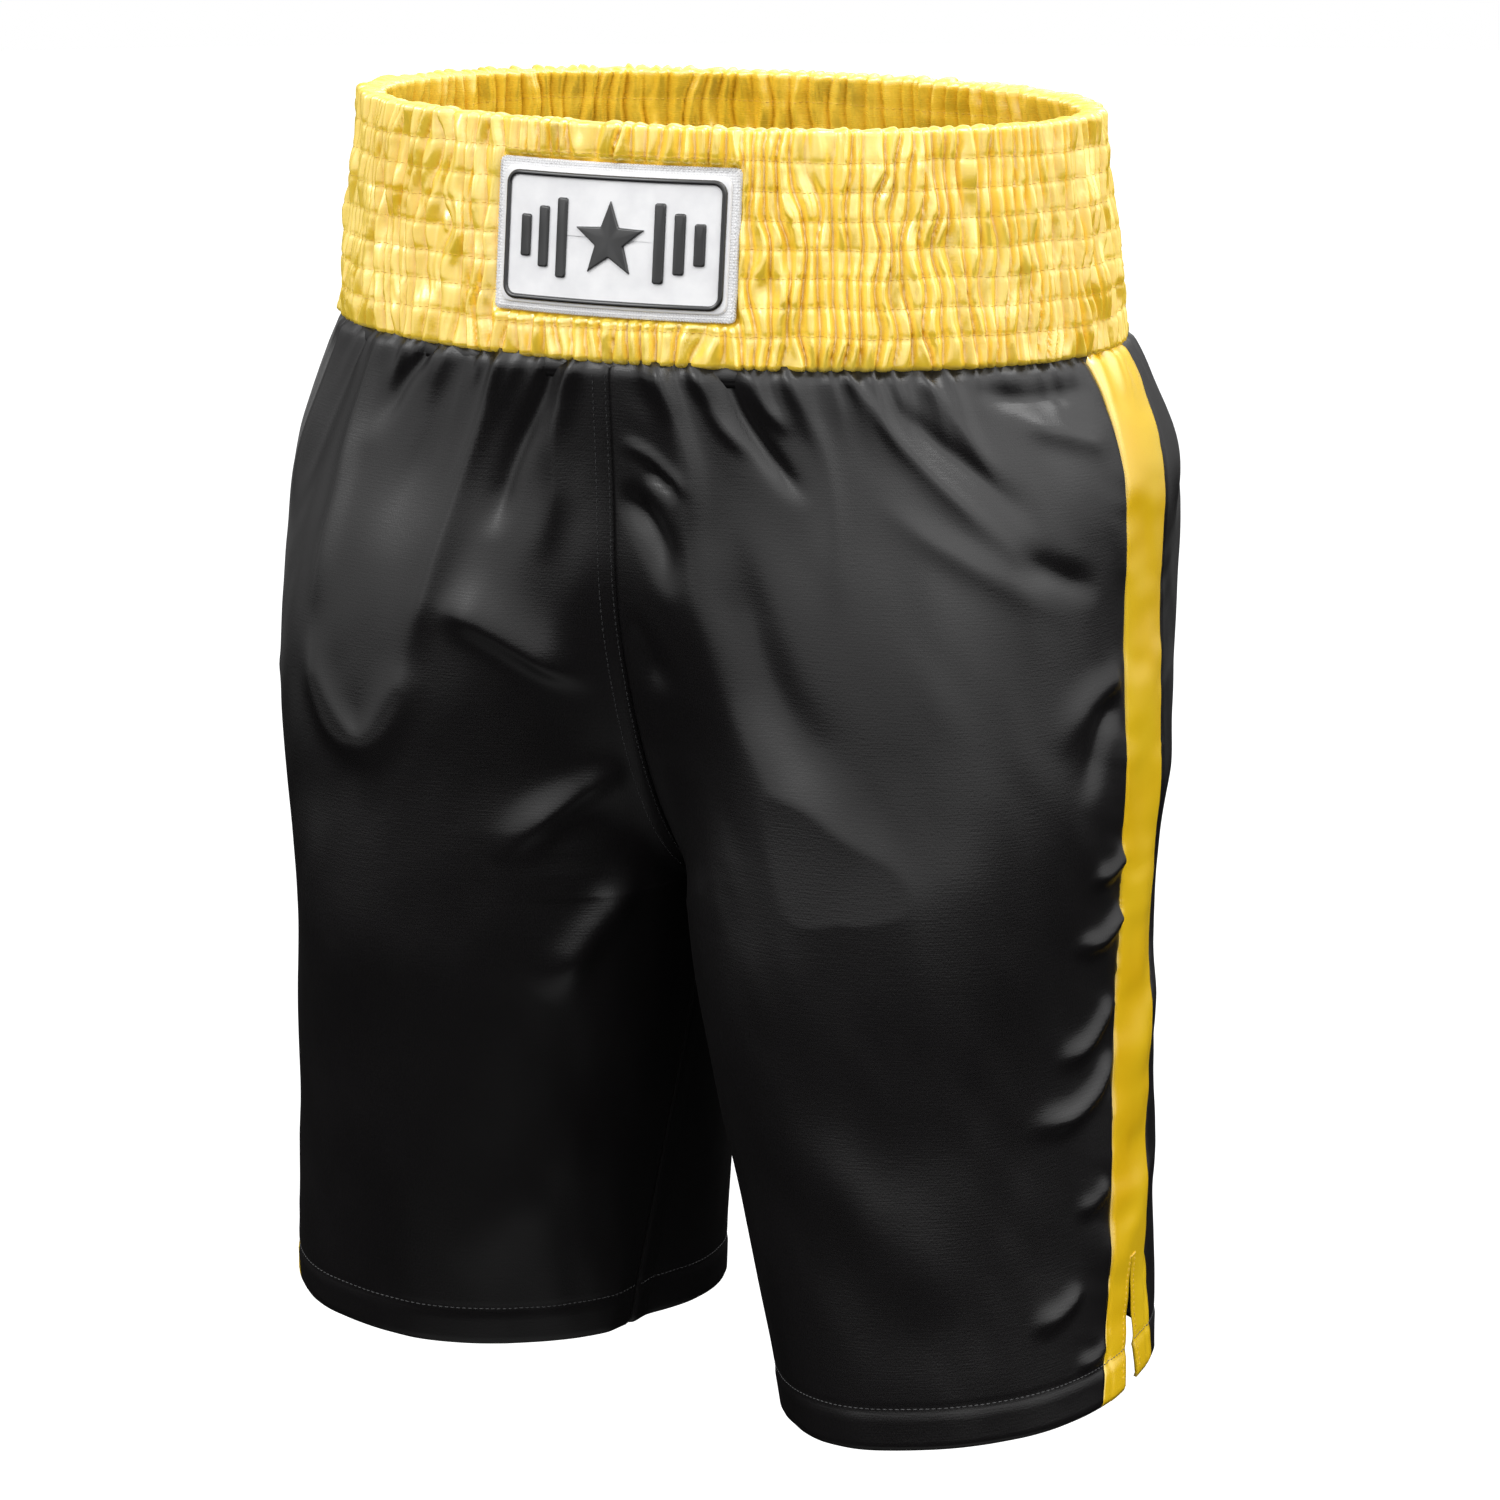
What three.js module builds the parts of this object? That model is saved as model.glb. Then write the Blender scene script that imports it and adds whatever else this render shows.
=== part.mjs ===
// Satin boxing shorts with a wide shirred waistband, an applied front patch and gold side stripes.
// Millimetres. +X is the wearer's left, -Y the front, +Z up.
// The origin is the centre of the waist opening, level with the top of the waistband.
import * as THREE from 'three';

// Waistband: half widths of the opening (x) and half depths (y), at its top edge and at the waist seam.
const BAND_HEIGHT = 100;
const BAND_TOP = { halfWidth: 172, halfDepth: 110.6 };
const BAND_BOTTOM = { halfWidth: 182.4, halfDepth: 122.1 };
const BAND_STEPS = 60;
const CLOTH = 1.2;
const ELASTIC = 2.8;
const PIECE_GAP = 0.35;

// Body: depth is the distance below the top of the waistband.
const CROTCH_DEPTH = 350;
const HEM_DEPTH = 575;
const HEM_RISE = 0.09;
const PANEL_THICKNESS = 1.4;
const HEM_THICKNESS = 2.8;
const HEM_ALLOWANCE = 19;
const HALF_WIDTHS = [[100, 182.4], [150, 201.8], [215, 196.9], [300, 203.6]];
const FRONT_DEPTHS = [[100, 122.1], [150, 121.4], [215, 132.1], [300, 133.7]];
const BACK_DEPTHS = [[100, 122.1], [155, 146], [225, 163], [310, 157]];
const SQUARENESS = [[100, 2], [250, 3.2]];
const RISE_POWER = 1.69;
const OUTSIDE_POWER = 2.2;
const RISE_SHARE = 0.14;

// Legs: the section at the crotch and at the hem. The left leg stands forward of the right one.
const LEG_SQUARENESS = 2.35;
const THIGH = { centreX: 99, centreY: -7.1, halfWidth: 98.5, halfDepth: 118.4 };
const HEM = { centreX: 125.8, halfWidth: 81.7, halfDepth: 108.9 };
const STANCE = {
  left: { side: 1, hemY: -12.7, turn: 0.18 },
  right: { side: -1, hemY: 28.8, turn: 0.38 },
};

// Side stripes, each with a vent slit that spreads towards the hem.
const STRIPE_WIDTH = 50;
const STRIPE_TOP_Y = 4;
const STRIPE_HEM_Y = -15;
const VENT_HEIGHT = 60;
const VENT_TOP_GAP = 1;
const VENT_HEM_GAP = 18;

// Overlocked seam allowances inside the body, and the ring that joins it to the waistband.
const SEAM_HALF_WIDTH = 4;
const SEAM_THICKNESS = 1;
const SEAM_GAP = 0.8;
const EDGE_COLUMN = 5;
const WAIST_SEAM = { top: 101, bottom: 109, inset: 2.7, thickness: 2 };

// Front patch: woven base, moulded face, and raised motif of one star between graduated bars.
const PATCH = { width: 114, height: 65, centreDepth: 50, thickness: 1.1 };
const FACE = { width: 107, height: 58, thickness: 0.9 };
const FRAME = { width: 104, height: 55, line: 2.3, corner: 6 };
const RAISED = 0.9;
const STAR_RADIUS = 17;
const STAR_WAIST = 0.42;
const BAR_WIDTH = 5;
const BAR_HEIGHTS = [34, 26, 18];
const BAR_FIRST_X = 23;
const BAR_PITCH = 9;

// Labels that hang by one sewn edge.
const TAG = { angle: 1.95, depth: 79, width: 26, length: 13, leaf: 0.6, fold: 1.8 };
const CARE_LABEL = { depth: 111, width: 34, length: 48, thickness: 0.6, y: 113, corner: 3 };

const GOLD = { color: 0xf3d976, roughness: 0.38, metalness: 0 };
const BLACK = { color: 0x161617, roughness: 0.4, metalness: 0 };
const WHITE_WEAVE = { color: 0xe9e9ea, roughness: 0.8, metalness: 0 };
const WHITE_FACE = { color: 0xd6d7d8, roughness: 0.3, metalness: 0 };
const BLACK_FACE = { color: 0x101011, roughness: 0.18, metalness: 0 };
const ELASTIC_WHITE = { color: 0xdedcd4, roughness: 0.9, metalness: 0 };
const THREAD_BLACK = { color: 0x202022, roughness: 0.9, metalness: 0 };

const shorts = new THREE.Group();

function addPiece(name, geometry, look) {
  const mesh = new THREE.Mesh(geometry, new THREE.MeshStandardMaterial(look));
  mesh.name = name;
  shorts.add(mesh);
  return mesh;
}

const { lerp, clamp, smoothstep } = THREE.MathUtils;

// Value at a depth from a short list of [depth, value] levels, eased between them.
function atDepth(levels, depth) {
  let value = levels[0][1];
  for (let i = 1; i < levels.length; i += 1) {
    const [upper, upperValue] = levels[i - 1];
    const [lower, lowerValue] = levels[i];
    if (depth > upper) {
      const even = clamp((depth - upper) / (lower - upper), 0, 1);
      const eased = smoothstep(depth, upper, lower);
      value = lerp(upperValue, lowerValue, lerp(even, eased, 0.6));
    }
  }
  return value;
}

// Unit squircle: power 2 is a circle, a higher power is squarer.
function squircle(angle, power) {
  const c = Math.cos(angle);
  const s = Math.sin(angle);
  const reach = (Math.abs(c) ** power + Math.abs(s) ** power) ** (-1 / power);
  return [c * reach, s * reach];
}

// The body's outer surface. s runs from the centre front (0) round the outside of one side
// to the centre back (1), and below the crotch from the inseam round the leg to the inseam.
function bodyPoint(stance, depth, s) {
  const legShare = clamp((depth - CROTCH_DEPTH) / (HEM_DEPTH - CROTCH_DEPTH), 0, 1);
  const hipShare = clamp((depth - BAND_HEIGHT) / (CROTCH_DEPTH - BAND_HEIGHT), 0, 1);
  const [frontness, sideness] = squircle(Math.PI * s, atDepth(SQUARENESS, depth));
  const reach = frontness > 0 ? atDepth(FRONT_DEPTHS, depth) : atDepth(BACK_DEPTHS, depth);
  const hipX = atDepth(HALF_WIDTHS, depth) * sideness;
  const hipY = -reach * frontness;

  const [inward, forward] = squircle(2 * Math.PI * s, LEG_SQUARENESS);
  const across = -lerp(THIGH.halfWidth, HEM.halfWidth, legShare) * inward;
  const along = -lerp(THIGH.halfDepth, HEM.halfDepth, legShare) * forward;
  const turn = stance.turn * legShare;
  const legX = lerp(THIGH.centreX, HEM.centreX, legShare)
    + across * Math.cos(turn) - along * Math.sin(turn);
  const legY = lerp(THIGH.centreY, stance.hemY, legShare)
    + across * Math.sin(turn) + along * Math.cos(turn);

  const riseSplit = 1 - Math.sqrt(1 - hipShare ** RISE_POWER);
  const outsideSplit = hipShare ** OUTSIDE_POWER;
  const split = lerp(riseSplit, outsideSplit, smoothstep(Math.min(s, 1 - s), 0, RISE_SHARE));
  const x = lerp(hipX, legX, split);
  const y = lerp(hipY, legY, split);
  const z = -depth + legShare ** 2 * HEM_RISE * (x - HEM.centreX);
  return new THREE.Vector3(stance.side * x, y, z);
}

class SectionCurve extends THREE.Curve {
  constructor(stance, depth) {
    super();
    this.stance = stance;
    this.depth = depth;
    this.arcLengthDivisions = 240;
  }

  getPoint(s) {
    return bodyPoint(this.stance, this.depth, s);
  }
}

const sections = new Map();

function sectionAt(stance, depth) {
  const key = `${stance.side} ${depth}`;
  if (!sections.has(key)) {
    const curve = new SectionCurve(stance, depth);
    sections.set(key, { curve, length: curve.getLength(), stripe: stripeCentre(curve, depth) });
  }
  return sections.get(key);
}

// Distance round the section to the middle of the side stripe.
function stripeCentre(curve, depth) {
  const lengths = curve.getLengths();
  const share = clamp((depth - CROTCH_DEPTH) / (HEM_DEPTH - CROTCH_DEPTH), 0, 1);
  const targetY = lerp(STRIPE_TOP_Y, STRIPE_HEM_Y, share);
  let front = 0.3;
  let back = 0.7;
  for (let i = 0; i < 30; i += 1) {
    const middle = (front + back) / 2;
    if (curve.getPoint(middle).y < targetY) {
      front = middle;
    } else {
      back = middle;
    }
  }
  const position = front * (lengths.length - 1);
  const step = Math.floor(position);
  return lerp(lengths[step], lengths[step + 1], position - step);
}

// A point `inset` millimetres inside the body's outer surface, `arc` millimetres round its section.
function clothPoint(stance, depth, arc, inset) {
  const { curve } = sectionAt(stance, depth);
  const s = curve.getUtoTmapping(0, arc);
  const before = bodyPoint(stance, depth, Math.max(s - 0.004, 0));
  const after = bodyPoint(stance, depth, Math.min(s + 0.004, 1));
  const above = bodyPoint(stance, depth - 0.8, s);
  const below = bodyPoint(stance, depth + 0.8, s);
  const normal = after.sub(before).cross(below.sub(above)).normalize();
  return curve.getPoint(s).addScaledVector(normal, inset * stance.side);
}

// Closed solid between an outer and an inner grid of points. Cells that `open` names are left out,
// and every edge of what is left gets a wall. With `closed`, the last column joins the first.
function gridSolid(outer, inner, { closed = false, open = () => false } = {}) {
  const rows = outer.length;
  const columns = outer[0].length;
  const cellColumns = closed ? columns : columns - 1;
  const positions = [];
  for (const layer of [outer, inner]) {
    for (const row of layer) {
      for (const point of row) {
        positions.push(point.x, point.y, point.z);
      }
    }
  }
  const at = (layer, i, j) => layer * rows * columns + i * columns + (j % columns);
  const filled = (i, j) => {
    const column = closed ? (j + cellColumns) % cellColumns : j;
    return i >= 0 && i < rows - 1 && column >= 0 && column < cellColumns && !open(i, column);
  };
  const faces = [];
  const addQuad = (a, b, c, d) => faces.push(a, b, c, a, c, d);
  for (let i = 0; i < rows - 1; i += 1) {
    for (let j = 0; j < cellColumns; j += 1) {
      if (filled(i, j)) {
        addQuad(at(0, i, j), at(0, i + 1, j), at(0, i + 1, j + 1), at(0, i, j + 1));
        addQuad(at(1, i, j), at(1, i, j + 1), at(1, i + 1, j + 1), at(1, i + 1, j));
        if (!filled(i - 1, j)) addQuad(at(0, i, j), at(0, i, j + 1), at(1, i, j + 1), at(1, i, j));
        if (!filled(i + 1, j)) {
          addQuad(at(0, i + 1, j + 1), at(0, i + 1, j), at(1, i + 1, j), at(1, i + 1, j + 1));
        }
        if (!filled(i, j - 1)) addQuad(at(0, i + 1, j), at(0, i, j), at(1, i, j), at(1, i + 1, j));
        if (!filled(i, j + 1)) {
          addQuad(at(0, i, j + 1), at(0, i + 1, j + 1), at(1, i + 1, j + 1), at(1, i, j + 1));
        }
      }
    }
  }
  const geometry = new THREE.BufferGeometry();
  geometry.setAttribute('position', new THREE.Float32BufferAttribute(positions, 3));
  geometry.setIndex(signedVolume(positions, faces) > 0 ? faces : faces.reverse());
  const compact = geometry.toNonIndexed();
  compact.computeVertexNormals();
  return compact;
}

function signedVolume(positions, faces) {
  const corner = (index) => new THREE.Vector3().fromArray(positions, index * 3);
  let volume = 0;
  for (let i = 0; i < faces.length; i += 3) {
    volume += corner(faces[i]).dot(corner(faces[i + 1]).cross(corner(faces[i + 2])));
  }
  return volume;
}

// Rows of the body, closer together where the rise curves under to the crotch.
const ventTop = HEM_DEPTH - VENT_HEIGHT;
const hemFold = HEM_DEPTH - HEM_ALLOWANCE;
const upperRows = [BAND_HEIGHT + 0.35, 112];
for (let k = 3; k <= 12; k += 1) {
  const share = Math.sin((Math.PI / 2) * (k / 13)) ** (2 / RISE_POWER);
  upperRows.push(lerp(BAND_HEIGHT, CROTCH_DEPTH, share));
}
const lowerRows = [CROTCH_DEPTH, 362, 385, 425, 470, ventTop, hemFold - 1, hemFold, HEM_DEPTH];
const bodyRows = [...upperRows, ...lowerRows];
const seamRows = bodyRows.filter((depth) => depth >= 112 && depth < hemFold - 5);

// Grid solid on the body's surface. `columns` gives the distances round the section at a depth.
function bodySolid(stance, rows, columns, insetAt, options) {
  const outer = [];
  const inner = [];
  for (const depth of rows) {
    const [outerInset, innerInset] = insetAt(depth);
    const arcs = columns(depth);
    outer.push(arcs.map((arc) => clothPoint(stance, depth, arc, outerInset)));
    inner.push(arcs.map((arc) => clothPoint(stance, depth, arc, innerInset)));
  }
  return gridSolid(outer, inner, options);
}

const panelInset = (depth) => [0, depth >= hemFold ? HEM_THICKNESS : PANEL_THICKNESS];

// Distances from `start` to `end`, with one close to each edge and the rest even.
function spread(start, end, count) {
  const arcs = [start, start + EDGE_COLUMN];
  const span = end - start - 2 * EDGE_COLUMN;
  for (let k = 1; k < count; k += 1) {
    arcs.push(start + EDGE_COLUMN + (span * k) / count);
  }
  return [...arcs, end - EDGE_COLUMN, end];
}

const halfGap = PIECE_GAP / 2;

function ventGap(depth) {
  return lerp(VENT_TOP_GAP, VENT_HEM_GAP, clamp((depth - ventTop) / VENT_HEIGHT, 0, 1));
}

function stripeEdge(stance, depth, direction) {
  const { stripe } = sectionAt(stance, depth);
  return stripe + (direction * (STRIPE_WIDTH + ventGap(depth))) / 2;
}

function makePanels(label, stance) {
  const frontColumns = (depth) => spread(halfGap, stripeEdge(stance, depth, -1) - halfGap, 9);
  const backColumns = (depth) => spread(
    stripeEdge(stance, depth, 1) + halfGap,
    sectionAt(stance, depth).length - halfGap,
    10,
  );
  addPiece(`front_panel_${label}`, bodySolid(stance, bodyRows, frontColumns, panelInset), BLACK);
  addPiece(`back_panel_${label}`, bodySolid(stance, bodyRows, backColumns, panelInset), BLACK);
}

function makeStripe(label, stance) {
  const columns = (depth) => {
    const { stripe } = sectionAt(stance, depth);
    const front = stripeEdge(stance, depth, -1) + halfGap;
    const back = stripeEdge(stance, depth, 1) - halfGap;
    const slit = ventGap(depth) / 2;
    return [front, front + EDGE_COLUMN, stripe - slit, stripe + slit, back - EDGE_COLUMN, back];
  };
  const slitRow = bodyRows.indexOf(ventTop);
  const open = (row, column) => row >= slitRow && column === 2;
  addPiece(`side_stripe_${label}`, bodySolid(stance, bodyRows, columns, panelInset, { open }), GOLD);
}

// Seam allowance strips lie just inside the cloth, bridging the two pieces that they join.
const seamOuter = PANEL_THICKNESS + SEAM_GAP;
const seamInset = () => [seamOuter, seamOuter + SEAM_THICKNESS];

function makeSideSeams(label, stance) {
  for (const [edge, direction] of [['front', -1], ['back', 1]]) {
    const columns = (depth) => {
      const middle = stripeEdge(stance, depth, direction);
      return [middle - SEAM_HALF_WIDTH, middle, middle + SEAM_HALF_WIDTH];
    };
    const solid = bodySolid(stance, seamRows, columns, seamInset);
    addPiece(`stripe_${edge}_seam_${label}`, solid, THREAD_BLACK);
  }
}

// A strip across the line where two edges of the body meet. `edgePoint` gives a point at a
// depth, a distance past the line (negative on one side) and an inset.
function bridgeStrip(rows, edgePoint) {
  const offsets = [-SEAM_HALF_WIDTH, -0.6, 0.6, SEAM_HALF_WIDTH];
  const layer = (inset) => rows.map((depth) => offsets.map((offset) => edgePoint(depth, offset, inset)));
  return gridSolid(layer(seamOuter), layer(seamOuter + SEAM_THICKNESS));
}

function makeRiseSeam(name, atBack) {
  const lowest = upperRows[upperRows.length - 2];
  const rows = seamRows.filter((depth) => depth <= lowest);
  const edgePoint = (depth, offset, inset) => {
    const stance = offset > 0 ? STANCE.left : STANCE.right;
    const arc = atBack ? sectionAt(stance, depth).length - Math.abs(offset) : Math.abs(offset);
    return clothPoint(stance, depth, arc, inset);
  };
  addPiece(name, bridgeStrip(rows, edgePoint), THREAD_BLACK);
}

function makeInseam(label, stance) {
  const rows = seamRows.filter((depth) => depth > CROTCH_DEPTH + 5);
  const edgePoint = (depth, offset, inset) => {
    const arc = offset > 0 ? offset : sectionAt(stance, depth).length + offset;
    return clothPoint(stance, depth, arc, inset);
  };
  addPiece(`inseam_${label}`, bridgeStrip(rows, edgePoint), THREAD_BLACK);
}

// Closed ring swept round the waist from a profile of [inset, depth] corners.
function ringSolid(profile, pointAt) {
  const positions = [];
  const faces = [];
  for (let i = 0; i < BAND_STEPS; i += 1) {
    for (const [inset, depth] of profile) {
      const point = pointAt(i / BAND_STEPS, inset, depth);
      positions.push(point.x, point.y, point.z);
    }
  }
  const count = profile.length;
  for (let i = 0; i < BAND_STEPS; i += 1) {
    const next = (i + 1) % BAND_STEPS;
    for (let k = 0; k < count; k += 1) {
      const l = (k + 1) % count;
      faces.push(i * count + k, next * count + k, next * count + l);
      faces.push(i * count + k, next * count + l, i * count + l);
    }
  }
  const geometry = new THREE.BufferGeometry();
  geometry.setAttribute('position', new THREE.Float32BufferAttribute(positions, 3));
  geometry.setIndex(signedVolume(positions, faces) > 0 ? faces : faces.reverse());
  const compact = geometry.toNonIndexed();
  compact.computeVertexNormals();
  return compact;
}

// Point on the waistband. angle 0 is the centre front, and a quarter turn is the wearer's left.
function bandPoint(angle, inset, depth) {
  const share = depth / BAND_HEIGHT;
  const halfWidth = lerp(BAND_TOP.halfWidth, BAND_BOTTOM.halfWidth, share) - inset;
  const halfDepth = lerp(BAND_TOP.halfDepth, BAND_BOTTOM.halfDepth, share) - inset;
  return new THREE.Vector3(halfWidth * Math.sin(angle), -halfDepth * Math.cos(angle), -depth);
}

function makeWaistband() {
  const wall = CLOTH + PIECE_GAP + ELASTIC + PIECE_GAP + CLOTH;
  const coverProfile = [
    [0, BAND_HEIGHT], [0, 1], [1, 0], [wall - 1, 0], [wall, 1], [wall, BAND_HEIGHT],
    [wall - CLOTH, BAND_HEIGHT], [wall - CLOTH, CLOTH], [CLOTH, CLOTH], [CLOTH, BAND_HEIGHT],
  ];
  const inside = CLOTH + PIECE_GAP;
  const elasticProfile = [
    [inside, inside], [inside + ELASTIC, inside],
    [inside + ELASTIC, BAND_HEIGHT - 3], [inside, BAND_HEIGHT - 3],
  ];
  const onBand = (turn, inset, depth) => bandPoint(2 * Math.PI * turn, inset, depth);
  addPiece('waistband_cover', ringSolid(coverProfile, onBand), GOLD);
  addPiece('waistband_elastic', ringSolid(elasticProfile, onBand), ELASTIC_WHITE);
}

function makeWaistSeam() {
  const { top, bottom, inset, thickness } = WAIST_SEAM;
  const profile = [[inset, top], [inset + thickness, top], [inset + thickness, bottom], [inset, bottom]];
  const insideBody = (turn, offset, depth) => {
    const stance = turn < 0.5 ? STANCE.left : STANCE.right;
    const s = turn < 0.5 ? turn * 2 : 2 - turn * 2;
    const { curve } = sectionAt(stance, depth);
    const lengths = curve.getLengths();
    return clothPoint(stance, depth, lengths[Math.round(s * (lengths.length - 1))], offset);
  };
  addPiece('waist_seam', ringSolid(profile, insideBody), THREAD_BLACK);
}

// Point on the front of the waistband: x across, v up from the patch's centre, out from the cloth.
function patchPoint(x, v, out) {
  const depth = PATCH.centreDepth - v;
  const share = depth / BAND_HEIGHT;
  const halfWidth = lerp(BAND_TOP.halfWidth, BAND_BOTTOM.halfWidth, share) + out;
  const halfDepth = lerp(BAND_TOP.halfDepth, BAND_BOTTOM.halfDepth, share) + out;
  const angle = Math.asin(x / halfWidth);
  return new THREE.Vector3(x, -halfDepth * Math.cos(angle), -depth);
}

function bentPlate(width, height, near, far) {
  const columns = 12;
  const layer = (out) => [0.5, 0, -0.5].map((v) => {
    const row = [];
    for (let j = 0; j <= columns; j += 1) {
      row.push(patchPoint((j / columns - 0.5) * width, v * height, out));
    }
    return row;
  });
  return gridSolid(layer(far), layer(near));
}

// Rounded rectangle as evenly stepped points, so that a bent frame follows the band's curve.
function roundedOutline(width, height, corner) {
  const shape = new THREE.Shape();
  const x = width / 2;
  const y = height / 2;
  shape.moveTo(-x + corner, -y);
  shape.lineTo(x - corner, -y);
  shape.absarc(x - corner, -y + corner, corner, -Math.PI / 2, 0);
  shape.lineTo(x, y - corner);
  shape.absarc(x - corner, y - corner, corner, 0, Math.PI / 2);
  shape.lineTo(-x + corner, y);
  shape.absarc(-x + corner, y - corner, corner, Math.PI / 2, Math.PI);
  shape.lineTo(-x, -y + corner);
  shape.absarc(-x + corner, -y + corner, corner, Math.PI, Math.PI * 1.5);
  shape.closePath();
  return shape.getSpacedPoints(48).slice(0, -1);
}

function bentFrame(near, far) {
  const outline = roundedOutline(FRAME.width, FRAME.height, FRAME.corner);
  const inside = roundedOutline(
    FRAME.width - 2 * FRAME.line,
    FRAME.height - 2 * FRAME.line,
    FRAME.corner - FRAME.line,
  );
  const bend = (points, out) => points.map((point) => patchPoint(point.x, point.y, out));
  return gridSolid(
    [bend(outline, far), bend(inside, far)],
    [bend(outline, near), bend(inside, near)],
    { closed: true },
  );
}

function starShape() {
  const shape = new THREE.Shape();
  for (let k = 0; k < 10; k += 1) {
    const radius = k % 2 === 0 ? STAR_RADIUS : STAR_RADIUS * STAR_WAIST;
    const angle = Math.PI / 2 + (k * Math.PI) / 5;
    const x = radius * Math.cos(angle);
    const y = radius * Math.sin(angle);
    if (k === 0) {
      shape.moveTo(x, y);
    } else {
      shape.lineTo(x, y);
    }
  }
  shape.closePath();
  return shape;
}

function barShape(height) {
  const shape = new THREE.Shape();
  shape.moveTo(-BAR_WIDTH / 2, -height / 2);
  shape.lineTo(BAR_WIDTH / 2, -height / 2);
  shape.lineTo(BAR_WIDTH / 2, height / 2);
  shape.lineTo(-BAR_WIDTH / 2, height / 2);
  shape.closePath();
  return shape;
}

// Stand a flat motif on the patch's face at x, leaning with the band's surface there.
function standOnPatch(mesh, x, out) {
  const origin = patchPoint(x, 0, out);
  const across = patchPoint(x + 1, 0, out).sub(patchPoint(x - 1, 0, out)).normalize();
  const up = patchPoint(x, 1, out).sub(patchPoint(x, -1, out)).normalize();
  const outward = across.clone().cross(up);
  mesh.matrixAutoUpdate = false;
  mesh.matrix.makeBasis(across, up, outward).setPosition(origin);
}

function makePatch() {
  const base = PIECE_GAP;
  const face = base + PATCH.thickness + PIECE_GAP;
  const raised = face + FACE.thickness + PIECE_GAP;
  const baseSolid = bentPlate(PATCH.width, PATCH.height, base, base + PATCH.thickness);
  addPiece('patch_base', baseSolid, WHITE_WEAVE);
  const faceSolid = bentPlate(FACE.width, FACE.height, face, face + FACE.thickness);
  addPiece('patch_face', faceSolid, WHITE_FACE);
  addPiece('patch_frame', bentFrame(raised, raised + RAISED), BLACK_FACE);
  const flat = { depth: RAISED, bevelEnabled: false };
  const star = addPiece('patch_star', new THREE.ExtrudeGeometry(starShape(), flat), BLACK_FACE);
  standOnPatch(star, 0, raised);
  for (const [label, direction] of [['left', 1], ['right', -1]]) {
    BAR_HEIGHTS.forEach((height, k) => {
      const geometry = new THREE.ExtrudeGeometry(barShape(height), flat);
      const bar = addPiece(`patch_bar_${label}_${k + 1}`, geometry, BLACK_FACE);
      standOnPatch(bar, direction * (BAR_FIRST_X + k * BAR_PITCH), raised);
    });
  }
}

// Folded woven tag on the outside of the waistband: two leaves joined by the fold at its foot.
function makeTag() {
  const { leaf, fold, length, width } = TAG;
  const shape = new THREE.Shape();
  shape.moveTo(0, 0);
  shape.lineTo(0, -length + fold / 2);
  shape.absarc(fold / 2, -length + fold / 2, fold / 2, Math.PI, 2 * Math.PI);
  shape.lineTo(fold, 0);
  shape.lineTo(fold - leaf, 0);
  shape.lineTo(fold - leaf, -length + fold / 2);
  shape.absarc(fold / 2, -length + fold / 2, fold / 2 - leaf, 2 * Math.PI, Math.PI, true);
  shape.lineTo(leaf, 0);
  shape.closePath();
  const geometry = new THREE.ExtrudeGeometry(shape, { depth: width, bevelEnabled: false, curveSegments: 5 });
  geometry.translate(0, 0, -width / 2);
  const tag = addPiece('outer_tag', geometry, WHITE_WEAVE);
  const origin = bandPoint(TAG.angle, -1.6, TAG.depth);
  const tangent = bandPoint(TAG.angle + 0.01, -1.6, TAG.depth)
    .sub(bandPoint(TAG.angle - 0.01, -1.6, TAG.depth)).normalize();
  const up = new THREE.Vector3(0, 0, 1);
  const outward = tangent.clone().cross(up).normalize();
  tag.matrixAutoUpdate = false;
  tag.matrix.makeBasis(outward, up, outward.clone().cross(up)).setPosition(origin);
}

// Care label hanging from the waist seam inside the centre back.
function makeCareLabel() {
  const { width, length, thickness, corner, y, depth } = CARE_LABEL;
  const shape = new THREE.Shape();
  shape.moveTo(-width / 2, 0);
  shape.lineTo(-width / 2, -length + corner);
  shape.lineTo(-width / 2 + corner, -length);
  shape.lineTo(width / 2 - corner, -length);
  shape.lineTo(width / 2, -length + corner);
  shape.lineTo(width / 2, 0);
  shape.closePath();
  const geometry = new THREE.ExtrudeGeometry(shape, { depth: thickness, bevelEnabled: false });
  const label = addPiece('care_label', geometry, WHITE_WEAVE);
  label.rotation.x = Math.PI / 2;
  label.position.set(0, y + thickness / 2, -depth);
}

makeWaistband();
makeWaistSeam();
for (const [label, stance] of Object.entries(STANCE)) {
  makePanels(label, stance);
  makeStripe(label, stance);
  makeSideSeams(label, stance);
  makeInseam(label, stance);
}
makeRiseSeam('front_rise_seam', false);
makeRiseSeam('back_rise_seam', true);
makePatch();
makeTag();
makeCareLabel();

export default shorts;
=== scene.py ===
import math

import bmesh
import bpy
import numpy as np
from mathutils import Matrix, Vector


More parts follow.
